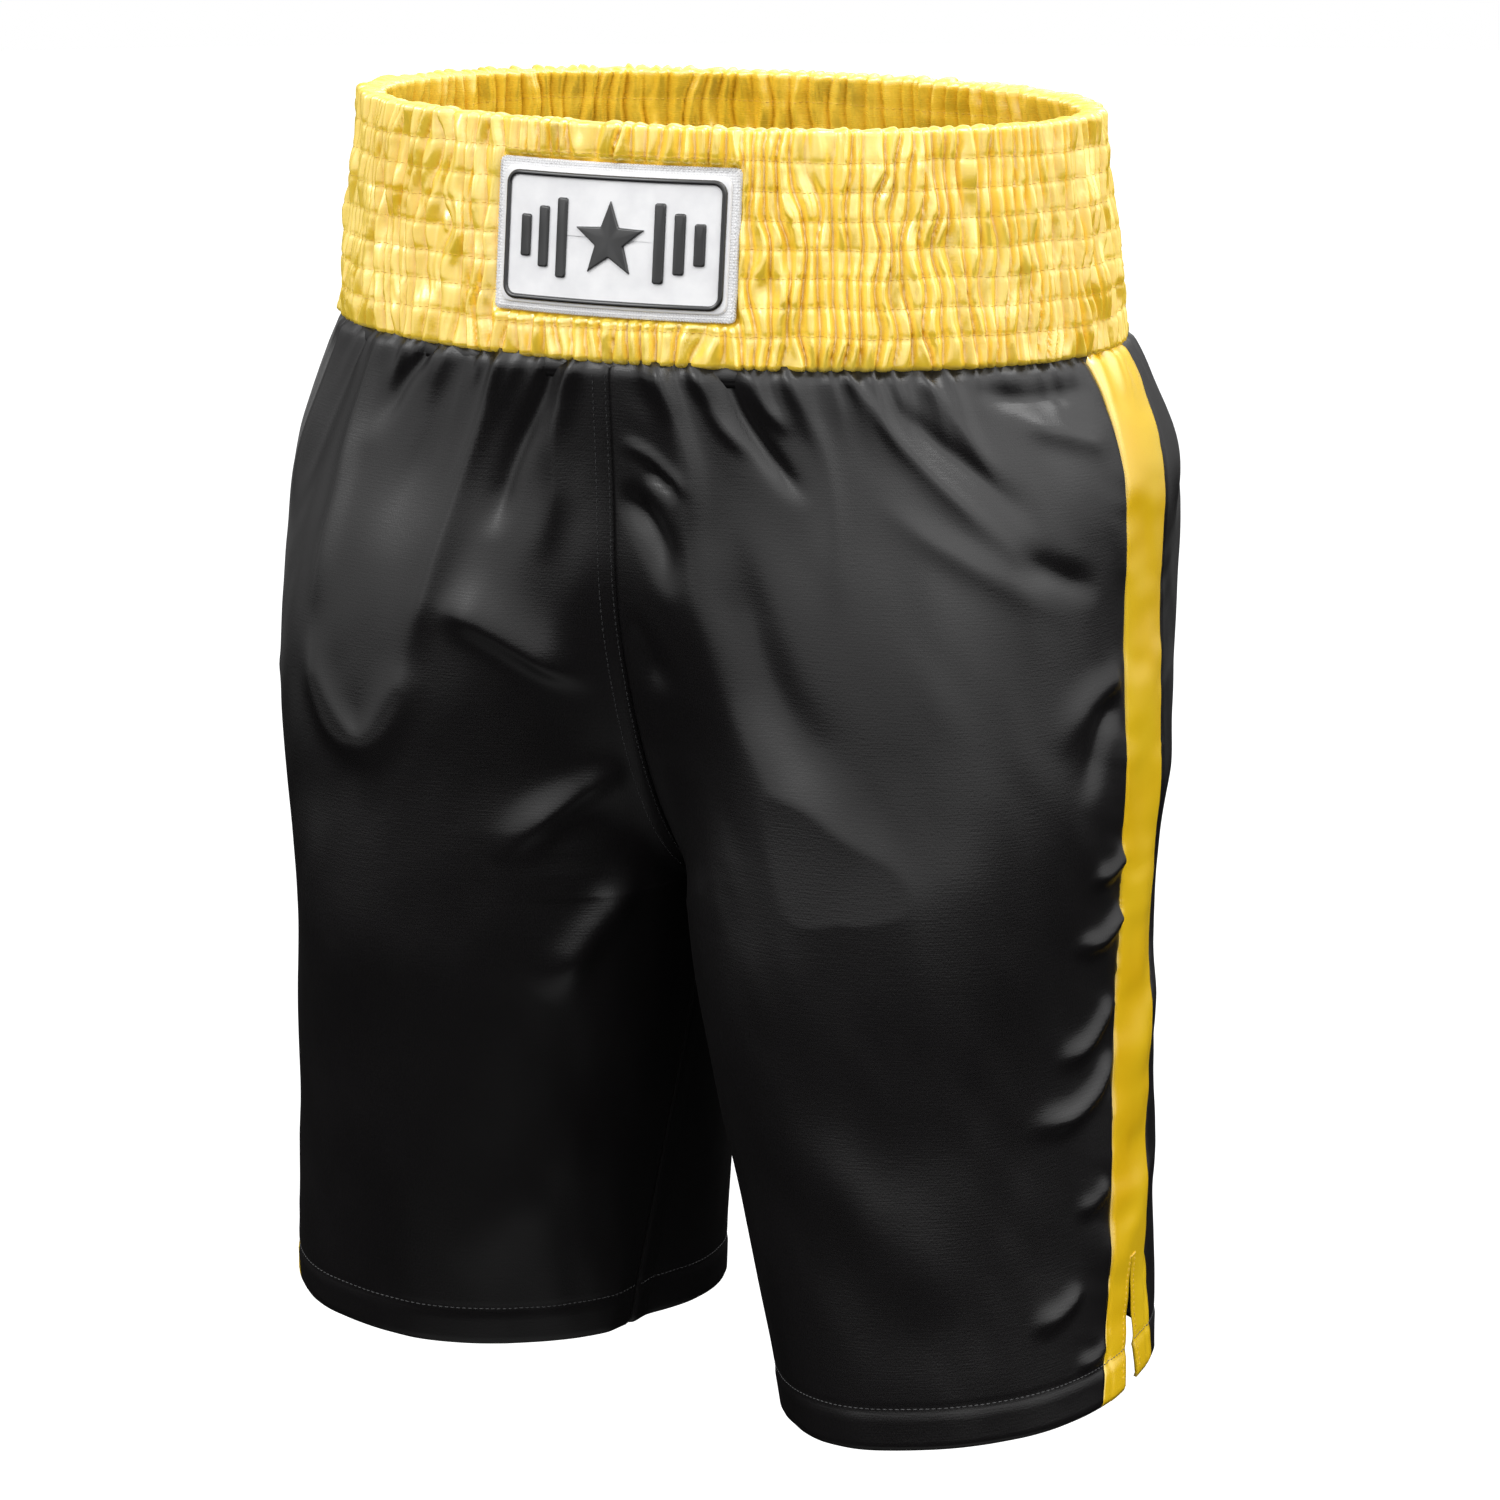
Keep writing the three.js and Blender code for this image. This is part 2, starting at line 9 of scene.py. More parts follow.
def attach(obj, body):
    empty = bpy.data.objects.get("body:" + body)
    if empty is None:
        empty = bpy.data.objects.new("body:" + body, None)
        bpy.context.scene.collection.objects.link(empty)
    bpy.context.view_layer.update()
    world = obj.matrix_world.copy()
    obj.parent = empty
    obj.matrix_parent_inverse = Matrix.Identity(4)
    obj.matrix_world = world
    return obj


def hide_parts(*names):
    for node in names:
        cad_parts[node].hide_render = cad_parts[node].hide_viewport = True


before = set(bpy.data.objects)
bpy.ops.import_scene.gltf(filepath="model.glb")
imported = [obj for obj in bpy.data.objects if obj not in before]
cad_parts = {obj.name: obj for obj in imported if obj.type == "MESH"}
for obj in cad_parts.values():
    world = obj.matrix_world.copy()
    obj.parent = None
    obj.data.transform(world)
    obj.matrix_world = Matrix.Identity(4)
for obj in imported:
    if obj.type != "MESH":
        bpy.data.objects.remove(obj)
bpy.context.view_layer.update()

# Satin boxing shorts. Metres in Blender, +X the wearer's left, -Y the front, +Z up.
# The form below repeats the CAD model's dimensions, in millimetres.

MM = 0.001
GARMENT = "garment"
UP = np.array([0, 0, 1])

BAND_HEIGHT = 100
BAND_TOP = (172, 110.6)
BAND_BOTTOM = (182.4, 122.1)
CROTCH_DEPTH = 350
HEM_DEPTH = 575
HEM_RISE = 0.09
HEM_ALLOWANCE = 19
HALF_WIDTHS = ((100, 182.4), (150, 201.8), (215, 196.9), (300, 203.6))
FRONT_DEPTHS = ((100, 122.1), (150, 121.4), (215, 132.1), (300, 133.7))
BACK_DEPTHS = ((100, 122.1), (155, 146), (225, 163), (310, 157))
SQUARENESS = ((100, 2), (250, 3.2))
RISE_POWER = 1.69
OUTSIDE_POWER = 2.2
RISE_SHARE = 0.14
LEG_SQUARENESS = 2.35
THIGH = dict(x=99, y=-7.1, half_width=98.5, half_depth=118.4)
HEM = dict(x=125.8, half_width=81.7, half_depth=108.9)
STANCE = {"left": dict(side=1, hem_y=-12.7, turn=0.18), "right": dict(side=-1, hem_y=28.8, turn=0.38)}
STRIPE_WIDTH = 50
STRIPE_TOP_Y = 4
STRIPE_HEM_Y = -15
VENT_HEIGHT = 60
VENT_HEM_GAP = 18

PATCH = dict(width=114, height=65, depth=50, thickness=1.1)
FACE = dict(width=107, height=58, thickness=0.9)
FRAME = dict(width=104, height=55, line=2.3, corner=6)
RAISED = 0.9
GAP = 0.35
STAR_RADIUS = 17
STAR_WAIST = 0.42
BAR_WIDTH = 5
BAR_HEIGHTS = (34, 26, 18)
BAR_FIRST_X = 23
BAR_PITCH = 9
TAG = dict(angle=1.95, depth=79, width=26, length=13, leaf=0.6, fold=1.8)
LABEL = dict(depth=111, width=34, length=48, thickness=0.5, y=113)


# ---------------------------------------------------------------- numbers, lines and noise

def mix(a, b, t):
    return a + (b - a) * t


def part_way(low, high, x):
    """How far x has come from low to high, from 0 to 1."""
    return min(max((x - low) / (high - low), 0), 1)


def smooth(low, high, x):
    t = np.clip((x - low) / (high - low), 0, 1)
    return t * t * (3 - 2 * t)


def at_depth(levels, depth):
    """Value at a depth from a short list of (depth, value) levels, eased between them."""
    value = levels[0][1]
    for (upper, upper_value), (lower, lower_value) in zip(levels, levels[1:]):
        if depth > upper:
            eased = float(smooth(upper, lower, depth))
            value = mix(upper_value, lower_value, mix(part_way(upper, lower, depth), eased, 0.6))
    return value


def noise(x, y, seed, period=0):
    """Smooth noise from -1 to 1. Its bumps are one unit wide, and it repeats in x after period units."""
    lattice = np.random.default_rng(seed).uniform(-1, 1, (128, 128))
    x0, y0 = np.floor(x).astype(int), np.floor(y).astype(int)
    fx, fy = x - x0, y - y0
    fx, fy = fx * fx * (3 - 2 * fx), fy * fy * (3 - 2 * fy)

    def corner(i, j):
        i = i % period if period else i
        return lattice[i % 128, j % 128]

    upper = mix(corner(x0, y0), corner(x0 + 1, y0), fx)
    lower = mix(corner(x0, y0 + 1), corner(x0 + 1, y0 + 1), fx)
    return mix(upper, lower, fy)


def unit(v):
    return v / np.maximum(np.linalg.norm(v, axis=-1, keepdims=True), 1e-9)


def straight_out(points):
    """Level directions from the garment's middle line to each point."""
    return unit(points * np.array([1, 1, 0]))


def closed(line):
    """A line that ends where it starts."""
    return np.concatenate([line, line[:1]])


def lengths_along(line):
    """The line's length from its first point to each of its points."""
    return np.concatenate([[0], np.cumsum(np.linalg.norm(np.diff(line, axis=0), axis=1))])


def sample(line, along, at):
    """What the line holds where its length is at. Along is its length at each of its points."""
    return np.stack([np.interp(at, along, line[:, k]) for k in range(line.shape[1])], axis=-1)


def sheet_uv(across, down):
    """Places on a flat sheet, in millimetres, for a grid of points."""
    return np.stack(np.meshgrid(across, down), axis=-1)


# ---------------------------------------------------------------- the form, as in the CAD model

def squircle(angle, power):
    c, s = np.cos(angle), np.sin(angle)
    reach = (np.abs(c) ** power + np.abs(s) ** power) ** (-1 / power)
    return c * reach, s * reach


def body_section(stance, depth, s):
    """The body's outer surface at one depth, with s from the centre front (0) to the centre back (1)."""
    leg_share = part_way(CROTCH_DEPTH, HEM_DEPTH, depth)
    hip_share = part_way(BAND_HEIGHT, CROTCH_DEPTH, depth)
    frontness, sideness = squircle(math.pi * s, at_depth(SQUARENESS, depth))
    reach = np.where(frontness > 0, at_depth(FRONT_DEPTHS, depth), at_depth(BACK_DEPTHS, depth))
    hip_x = at_depth(HALF_WIDTHS, depth) * sideness
    hip_y = -reach * frontness
    inward, forward = squircle(2 * math.pi * s, LEG_SQUARENESS)
    across = -mix(THIGH["half_width"], HEM["half_width"], leg_share) * inward
    along = -mix(THIGH["half_depth"], HEM["half_depth"], leg_share) * forward
    turn = stance["turn"] * leg_share
    leg_x = mix(THIGH["x"], HEM["x"], leg_share) + across * math.cos(turn) - along * math.sin(turn)
    leg_y = mix(THIGH["y"], stance["hem_y"], leg_share) + across * math.sin(turn) + along * math.cos(turn)
    rise_split = 1 - math.sqrt(1 - hip_share ** RISE_POWER)
    outside_split = hip_share ** OUTSIDE_POWER
    split = mix(rise_split, outside_split, smooth(0, RISE_SHARE, np.minimum(s, 1 - s)))
    x = mix(hip_x, leg_x, split)
    y = mix(hip_y, leg_y, split)
    z = -depth + leg_share ** 2 * HEM_RISE * (x - HEM["x"])
    return np.stack([stance["side"] * x, y, z + 0 * x], axis=-1)


def eased_section(stance, depth, s):
    """The section averaged with those a little above and below it, so that hip and leg meet softly."""
    section = body_section(stance, depth, s)
    reach = 22 + 16 * math.exp(-((depth - CROTCH_DEPTH) / 55) ** 2)
    shares = (-1, -0.67, -0.33, 0.33, 0.67, 1)
    steps = [body_section(stance, depth + share * reach, s)[:, :2] for share in shares]
    eased = np.mean([section[:, :2], *steps], axis=0)
    amount = smooth(BAND_HEIGHT, BAND_HEIGHT + 22, depth) * smooth(HEM_DEPTH, HEM_DEPTH - 40, depth)
    near_crotch = math.exp(-((depth - CROTCH_DEPTH) / 70) ** 4)
    amount = amount * mix(1, smooth(0.01, 0.16, np.minimum(s, 1 - s)), near_crotch)
    section[:, :2] = mix(section[:, :2], eased, np.reshape(amount, (-1, 1)))
    return section


def band_half_sizes(depth, inset):
    """Half width and half depth of the waistband's ellipse at a depth."""
    share = depth / BAND_HEIGHT
    return (mix(top, bottom, share) - inset for top, bottom in zip(BAND_TOP, BAND_BOTTOM))


def band_point(angle, inset, depth):
    """Point on the waistband. Angle 0 is the centre front, and a quarter turn is the wearer's left."""
    half_width, half_depth = band_half_sizes(depth, inset)
    return np.stack([half_width * np.sin(angle), -half_depth * np.cos(angle), -depth + 0 * angle], axis=-1)


def patch_point(x, v, out):
    """Point on the front of the waistband: x across, v up from the patch's centre, out from the cloth."""
    depth = PATCH["depth"] - v
    half_width, half_depth = band_half_sizes(depth, -out)
    y = -half_depth * np.sqrt(1 - (x / half_width) ** 2)
    return np.stack([x + 0 * depth, y, -depth + 0 * x], axis=-1)


# ---------------------------------------------------------------- mesh helpers

def add_mesh(name, points, faces, material, uv=None, body=GARMENT):
    """A smooth mesh from points in millimetres and faces of any size, riding on a CAD body."""
    mesh = bpy.data.meshes.new(name)
    points = np.asarray(points, float).reshape(-1, 3)
    if isinstance(faces, np.ndarray):
        sizes = np.full(len(faces), faces.shape[1])
        corners = faces.ravel()
    else:
        sizes = np.array([len(f) for f in faces])
        corners = np.array([v for f in faces for v in f])
    mesh.vertices.add(len(points))
    mesh.vertices.foreach_set("co", (points * MM).ravel())
    mesh.loops.add(len(corners))
    mesh.loops.foreach_set("vertex_index", corners.astype(np.int32))
    mesh.polygons.add(len(sizes))
    mesh.polygons.foreach_set("loop_start", np.concatenate([[0], np.cumsum(sizes)[:-1]]).astype(np.int32))
    mesh.update(calc_edges=True)
    mesh.validate()
    mesh.polygons.foreach_set("use_smooth", np.ones(len(mesh.polygons), bool))
    if uv is not None and len(mesh.loops) == len(corners):
        layer = mesh.uv_layers.new(name="cloth")
        layer.data.foreach_set("uv", (np.asarray(uv, float).reshape(-1, 2)[corners] * MM).ravel())
    mesh.materials.append(material)
    piece = bpy.data.objects.new(name, mesh)
    bpy.context.collection.objects.link(piece)
    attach(piece, body)
    return piece


def stand_for(piece, cad_node):
    """Show a piece in place of a CAD node, by hiding the CAD node."""
    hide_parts(cad_node)
    return piece


def grid_faces(rows, columns, close_columns=False, close_rows=False):
    """Quads of a grid of points numbered row by row."""
    i = np.arange(rows if close_rows else rows - 1)[:, None]
    j = np.arange(columns if close_columns else columns - 1)[None, :]
    i2, j2 = (i + 1) % rows, (j + 1) % columns
    quads = np.stack([i * columns + j, i2 * columns + j, i2 * columns + j2, i * columns + j2], axis=-1)
    return quads.reshape(-1, 4)


def grid_normals(grid):
    """Unit normals of a grid of points, down the rows crossed with along the columns."""
    return unit(np.cross(np.gradient(grid, axis=0), np.gradient(grid, axis=1)))


def shell(name, outer, inner, material, uv=None, body=GARMENT, front=None, rim=None):
    """A closed piece of cloth between two grids of the same size. For cloth with a slit, front gives the
    faces of one wall, and rim the points round its edge in order."""
    rows, columns = outer.shape[:2]
    count = rows * columns
    if front is None:
        index = np.arange(count).reshape(rows, columns)
        front = grid_faces(rows, columns)
        rim = np.concatenate([index[0, :], index[1:, -1], index[-1, -2::-1], index[-2:0:-1, 0]])
    ahead = np.roll(rim, -1)
    sides = np.stack([rim, ahead, ahead + count, rim + count], axis=-1)
    faces = np.concatenate([front, front[:, ::-1] + count, sides])
    points = np.concatenate([outer.reshape(-1, 3), inner.reshape(-1, 3)])
    normal = np.cross(outer[1, 0] - outer[0, 0], outer[0, 1] - outer[0, 0])
    if np.dot(normal, inner[0, 0] - outer[0, 0]) > 0:
        faces = faces[:, ::-1]
    both = None if uv is None else np.concatenate([uv.reshape(-1, 2)] * 2)
    return add_mesh(name, points, faces, material, both, body)


def weld(piece):
    """Join points that lie on each other."""
    work = bmesh.new()
    work.from_mesh(piece.data)
    bmesh.ops.remove_doubles(work, verts=work.verts, dist=1e-6)
    work.to_mesh(piece.data)
    work.free()


def ring_round(centre, side, up, radius, sides):
    """A ring of points round each point of a path, in the plane of side and up."""
    turn = np.linspace(0, 2 * np.pi, sides, endpoint=False)[:, None]
    centre, side, up = centre[..., None, :], side[..., None, :], up[..., None, :]
    return centre + radius * (np.cos(turn) * side + np.sin(turn) * up)


def tube_faces(steps, sides):
    """The wall of a tube of rings and its two end faces."""
    caps = [list(range(sides)), list(range((steps - 1) * sides, steps * sides))[::-1]]
    return grid_faces(steps, sides, close_columns=True).tolist() + caps


def stitches(name, path, outward, material, pitch=2.8, length=2.0, radius=0.24, lift=0.12):
    """A row of sewn stitches: short rounded threads that dip into the cloth at both ends."""
    along = lengths_along(path)
    starts = np.arange(pitch / 2, along[-1] - length, pitch)
    steps, sides = 5, 5
    share = np.linspace(0, 1, steps)
    at = starts[:, None] + share * length
    up = unit(sample(outward, along, at))
    arch = np.sin(np.pi * share)[:, None]
    centre = sample(path, along, at) + up * (lift * 2 * arch - lift)
    side = unit(np.cross(unit(np.gradient(centre, axis=1)), up))
    points = ring_round(centre, side, up, radius * (0.35 + 0.65 * arch)[..., None], sides)
    one = tube_faces(steps, sides)
    faces = [[v + k * steps * sides for v in face] for k in range(len(starts)) for face in one]
    return add_mesh(name, points, faces, material)


def tube(name, path, up, radius, material, sides=4):
    """A thread along a path."""
    forward = unit(np.gradient(path, axis=0))
    side = unit(np.cross(forward, up))
    ring = ring_round(path, side, np.cross(side, forward), radius, sides)
    return add_mesh(name, ring, tube_faces(len(path), sides), material)


def overlock(name, edge, beside, outward, material, pitch=2.6, radius=0.2):
    """A zigzag thread sewn over a cloth edge."""
    along = lengths_along(edge)
    at = np.arange(0, along[-1], pitch / 2)
    edge, beside, outward = (sample(line, along, at) for line in (edge, beside, outward))
    outward = unit(outward)
    swing = (np.arange(len(at)) % 2)[:, None]
    return tube(name, mix(edge, beside, swing) + outward * radius, outward, radius, material)


# ---------------------------------------------------------------- materials

def new_material(name, roughness, specular=0.5, anisotropy=0.0, sheen=0.0, coat=0.0):
    material = bpy.data.materials.new(name)
    material.use_nodes = True
    tree = material.node_tree
    shader = tree.nodes["Principled BSDF"]
    shader.inputs["Roughness"].default_value = roughness
    shader.inputs["Specular IOR Level"].default_value = specular
    shader.inputs["Anisotropic"].default_value = anisotropy
    shader.inputs["Sheen Weight"].default_value = sheen
    shader.inputs["Sheen Roughness"].default_value = 0.4
    shader.inputs["Coat Weight"].default_value = coat
    shader.inputs["Coat Roughness"].default_value = 0.08
    return material, tree, shader


def node(tree, kind, inputs=(), **settings):
    made = tree.nodes.new(kind)
    for key, value in settings.items():
        setattr(made, key, value)
    for key, value in dict(inputs).items():
        if isinstance(value, bpy.types.NodeSocket):
            tree.links.new(value, made.inputs[key])
        else:
            made.inputs[key].default_value = value
    return made


def calculate(tree, operation, *values):
    return node(tree, "ShaderNodeMath", enumerate(values), operation=operation).outputs[0]


def remap(tree, value, start, end, low=0.0, high=1.0, curve="LINEAR"):
    """The value's range from start to end brought to low and high, and held there outside it."""
    inputs = {"Value": value, "From Min": start, "From Max": end, "To Min": low, "To Max": high}
    return node(tree, "ShaderNodeMapRange", inputs, interpolation_type=curve).outputs["Result"]


def mottle(tree, vector, scale, detail):
    inputs = {"Vector": vector, "Scale": scale, "Detail": detail}
    return node(tree, "ShaderNodeTexNoise", inputs).outputs["Fac"]


def threads_along(tree, place, across, down, detail):
    """Fine noise drawn out along the cloth, by how often it changes per metre across and down."""
    drawn = node(tree, "ShaderNodeMapping", {"Vector": place.outputs["UV"], "Scale": (across, down, 1.0)})
    return mottle(tree, drawn.outputs["Vector"], 1.0, detail)


def add_bump(tree, shader, height, strength, distance):
    bump = node(tree, "ShaderNodeBump", {"Height": height, "Strength": strength, "Distance": distance})
    tree.links.new(bump.outputs["Normal"], shader.inputs["Normal"])


def ramp(tree, factor, stops):
    made = node(tree, "ShaderNodeValToRGB", {"Fac": factor})
    elements = made.color_ramp.elements
    while len(elements) < len(stops):
        elements.new(0.5)
    for element, (position, colour) in zip(elements, stops):
        element.position = position
        element.color = (*colour, 1)
    return made.outputs["Color"]


def satin(name, dark, light, crease_shade=None, roughness=0.22, specular=1.0, anisotropy=0.4, ior=2.2, grain=0.05,
          tint=(1, 1, 1)):
    """Woven satin: long warp floats with a fine cross weave, slubs, a soft change of tone and, where a colour
    for the creases is given, that colour painted into the hollows as painted shade."""
    material, tree, shader = new_material(name, roughness, specular, anisotropy)
    shader.inputs["Specular Tint"].default_value = (*tint, 1)
    shader.inputs["IOR"].default_value = ior
    place = node(tree, "ShaderNodeTexCoord")
    colour = ramp(tree, mottle(tree, place.outputs["Object"], 14.0, 4.0), [(0.3, dark), (0.7, light)])
    if crease_shade:
        # Painted shade: the hollows, found by pointiness, take the deeper crease colour in place of the shade
        # and bounced light that falls there.
        form = node(tree, "ShaderNodeNewGeometry")
        hollow_shade_share = remap(tree, form.outputs["Pointiness"], 0.5, 0.42)
        tone = node(tree, "ShaderNodeMix", {"Factor": hollow_shade_share}, data_type="RGBA")
        tree.links.new(colour, tone.inputs["A"])
        tone.inputs["B"].default_value = (*crease_shade, 1)
        colour = tone.outputs["Result"]
    floats = threads_along(tree, place, 3200.0, 420.0, 2.0)
    slubs = threads_along(tree, place, 90.0, 1500.0, 2.0)
    weave = threads_along(tree, place, 1500.0, 800.0, 3.0)
    height = calculate(tree, "MULTIPLY_ADD", weave, 1.6, calculate(tree, "ADD", floats, slubs))
    add_bump(tree, shader, height, grain, 0.0004)
    tree.links.new(colour, shader.inputs["Base Color"])
    rough = remap(tree, slubs, 0.0, 1.0, roughness - 0.04, roughness + 0.05)
    tree.links.new(rough, shader.inputs["Roughness"])
    return material


def woven(name, dark, light, roughness, scale, depth=0.2):
    """Plain weave: two crossed sets of threads."""
    material, tree, shader = new_material(name, roughness, 0.3, sheen=0.15)
    place = node(tree, "ShaderNodeTexCoord")
    inputs = {"Vector": place.outputs["UV"], "Scale": scale, "Distortion": 1.2, "Detail": 1.0}
    warp, weft = (node(tree, "ShaderNodeTexWave", inputs, bands_direction=way).outputs["Fac"] for way in "XY")
    cloudy = mottle(tree, place.outputs["Object"], 60.0, 5.0)
    tone = calculate(tree, "ADD", calculate(tree, "MULTIPLY", warp, weft), cloudy)
    add_bump(tree, shader, tone, depth, 0.0004)
    tree.links.new(ramp(tree, tone, [(0.2, dark), (1.0, light)]), shader.inputs["Base Color"])
    return material


def moulded(name, dark, light, roughness, coat):
    """Soft moulded plastic with a faint mottle and fine unevenness."""
    material, tree, shader = new_material(name, roughness, coat=coat)
    place = node(tree, "ShaderNodeTexCoord").outputs["Object"]
    cloudy = mottle(tree, place, 90.0, 5.0)
    add_bump(tree, shader, mottle(tree, place, 700.0, 3.0), 0.08, 0.0003)
    tree.links.new(ramp(tree, cloudy, [(0.35, dark), (0.65, light)]), shader.inputs["Base Color"])
    rough = remap(tree, cloudy, 0.0, 1.0, roughness * 0.8, roughness * 1.3)
    tree.links.new(rough, shader.inputs["Roughness"])
    return material


GOLD_SHINE = (1, 0.95, 0.70)
# The third colour given to each gold satin is painted shade for its creases.
GOLD = satin("gold_satin", (0.96, 0.63, 0.03), (1.0, 0.74, 0.09), (0.88, 0.45, 0.012), tint=GOLD_SHINE)
# A darker copy of the gold satin for the waistband's inside: its darker colours are painted shade for the
# inside of the waistband.
GOLD_SHADED_INSIDE = satin(
    "gold_satin_shaded_inside", (0.86, 0.56, 0.03), (0.92, 0.66, 0.08), (0.80, 0.43, 0.01),
    roughness=0.26, ior=2.1, tint=(1, 0.93, 0.62),
)
GOLD_STRIPE = satin("gold_satin_stripe", (0.94, 0.56, 0.004), (0.99, 0.67, 0.015), tint=GOLD_SHINE)
BLACK = satin(
    "black_satin", (0.0046, 0.0042, 0.0044), (0.0066, 0.006, 0.0064),
    roughness=0.30, specular=0.55, anisotropy=0.45, ior=1.5, grain=0.13,
)
BLACK_THREAD = woven("black_thread", (0.008, 0.008, 0.009), (0.02, 0.02, 0.022), 0.6, 600)
GOLD_THREAD = woven("gold_thread", (0.62, 0.38, 0.04), (0.85, 0.58, 0.09), 0.5, 600)
GREY_THREAD = woven("grey_thread", (0.05, 0.05, 0.052), (0.09, 0.09, 0.092), 0.5, 600)
WHITE_WEAVE = woven("white_weave", (0.66, 0.66, 0.67), (0.84, 0.84, 0.85), 0.8, 260, 0.5)
WHITE_THREAD = woven("white_thread", (0.72, 0.72, 0.73), (0.86, 0.86, 0.87), 0.7, 600)
ELASTIC = woven("elastic_knit", (0.6, 0.59, 0.55), (0.8, 0.79, 0.75), 0.85, 160, 0.8)
WHITE_FACE = moulded("white_moulding", (0.74, 0.74, 0.755), (0.82, 0.82, 0.83), 0.3, 0.5)
BLACK_FACE = moulded("black_moulding", (0.004, 0.004, 0.0045), (0.009, 0.009, 0.01), 0.13, 0.7)


# ---------------------------------------------------------------- waistband

BAND_COLUMNS = 1240
BAND_LENGTH = 940
STITCH_DEPTHS = (14, 26.3, 38.6, 50.9, 63.1, 75.4, 87.7)
SECTION_ROWS = 9
COVER_TOP = 2.5
COVER_FOOT = 101
TUCK_DEPTH = 103
INNER_ROWS = 50
OUTER_SEED = 11
INNER_SEED = 31
RUFFLE_PITCH = 6.2
INNER_PITCH = 8.0
JOIN_ALONG = BAND_LENGTH / 2 - 42
CLOTH_PER_LENGTH = 1.35
ELASTIC_STEP = 4
ELASTIC_ROWS = 48
ELASTIC_THICKNESS = 0.6

turns = np.arange(BAND_COLUMNS) / BAND_COLUMNS
around = turns * BAND_LENGTH
band_angle = 2 * np.pi * turns
section_edges = zip((COVER_TOP, *STITCH_DEPTHS), (*STITCH_DEPTHS, COVER_FOOT))
outer_depths = np.concatenate(
    [np.linspace(a, b, SECTION_ROWS, endpoint=False) for a, b in section_edges] + [[COVER_FOOT]]
)
inner_depths = np.linspace(COVER_FOOT, 3, INNER_ROWS)


def band_noise(along, depth, wide, tall, seed):
    """Noise that meets itself round the waistband, with bumps of a width and a height in millimetres."""
    return noise(along / wide, depth / tall, seed, round(BAND_LENGTH / wide))


def ruffles(along, depth, seed, pitch=RUFFLE_PITCH):
    """Irregular gathers, 0 in the creases to 1 on the ridges, that wander and fork as they run down."""
    calm = RUFFLE_PITCH / pitch
    wander = 0.8 * calm * band_noise(along, depth, 23, 55, seed)
    fork = 0.36 * calm * band_noise(along, depth, 8, 17, seed + 1)
    turn = np.pi * (along / BAND_LENGTH * round(BAND_LENGTH / pitch) + wander + fork)
    broad = np.abs(np.cos(turn)) ** 0.9
    fine = np.abs(np.cos(2 * turn + 1.6 * band_noise(along, depth, 6, 24, seed + 3))) ** 0.7
    strength = 0.76 + 0.34 * band_noise(along, depth, 5.5, 18, seed + 2)
    return (0.78 * broad + 0.22 * fine) * strength


def section_share(depth):
    """How far a depth is from the stitch rows: 0 at a row, 1 between them, with narrow grooves."""
    lines = np.array((-4, *STITCH_DEPTHS, BAND_HEIGHT + 1.5))
    away = np.min(np.abs(depth[..., None] - lines), axis=-1)
    return 1 - np.exp(-(away / 1.2) ** 1.4)


def pressed_flat(depth):
    """1 where the patch or the tag holds the gathers down, falling to 0 a few millimetres outside it, and
    further up above the tag, which swings up there."""
    x = BAND_BOTTOM[0] * np.sin(band_angle) + 0 * depth
    front = np.cos(band_angle) > 0
    beside_patch = np.maximum(
        np.abs(x) - PATCH["width"] / 2, np.abs(depth - PATCH["depth"]) - PATCH["height"] / 2
    )
    along_tag = np.abs(band_angle - TAG["angle"]) * BAND_LENGTH / (2 * np.pi) - TAG["width"] / 2
    above_tag = TAG["depth"] - depth
    beside_tag = np.maximum(along_tag, np.maximum(0.4 * above_tag, -above_tag - TAG["length"]))
    under_patch = smooth(2.5, -0.5, beside_patch) * front
    return np.maximum(under_patch, smooth(4, 0, beside_tag))


def band_wall(depths, base_inset, puff, gather, seed, facing, pitch=RUFFLE_PITCH):
    """One wall of the waistband as a grid. Facing is -1 for the outer wall and 1 for the inner wall."""
    along, depth = np.meshgrid(around, depths)
    fullness = section_share(depth)
    pressed = pressed_flat(depth)
    rise = puff * (fullness - 0.6) + gather * ruffles(along, depth, seed, pitch) * (0.94 + 0.06 * fullness)
    rise = rise + 0.35 * band_noise(along, depth, 19, 10, seed + 7)
    slow = 0.5 * band_noise(along, depth, 60, 45, seed + 5)
    if facing > 0:
        beside_join = along - JOIN_ALONG
        rise = rise * (1 - 0.8 * np.exp(-(beside_join / 5) ** 2)) - 1.6 * np.exp(-(beside_join / 0.9) ** 2)
    else:
        rise = mix(rise, np.minimum(rise, -0.2) * 0.3 + 0.4, pressed)
    sideways = 0.35 * band_noise(along, depth, 7, 9, seed + 6) * fullness
    angle = band_angle + sideways * 2 * np.pi / BAND_LENGTH
    waver = 1.1 * band_noise(along, depth, 26, 30, 17)
    waver = waver * smooth(COVER_TOP, 12, depth) * smooth(COVER_FOOT, 92, depth) * (1 - pressed)
    return band_point(angle, base_inset + facing * (rise + slow), depth + waver)


def rolled_top(outer_edge, inner_edge):
    """Rows of the scalloped fold over the elastic's top, from the outer wall to the inner wall."""
    scallop = ruffles(around, np.zeros(BAND_COLUMNS), OUTER_SEED)
    fold = []
    for share in np.linspace(0, 1, 9)[1:-1]:
        line = mix(outer_edge, inner_edge, 0.5 - 0.5 * np.cos(np.pi * share))
        rise = np.sin(np.pi * share) * (0.9 + 2.8 * scallop * (1 - 0.4 * share))
        fold.append(line + UP * rise[:, None])
    return np.array(fold)


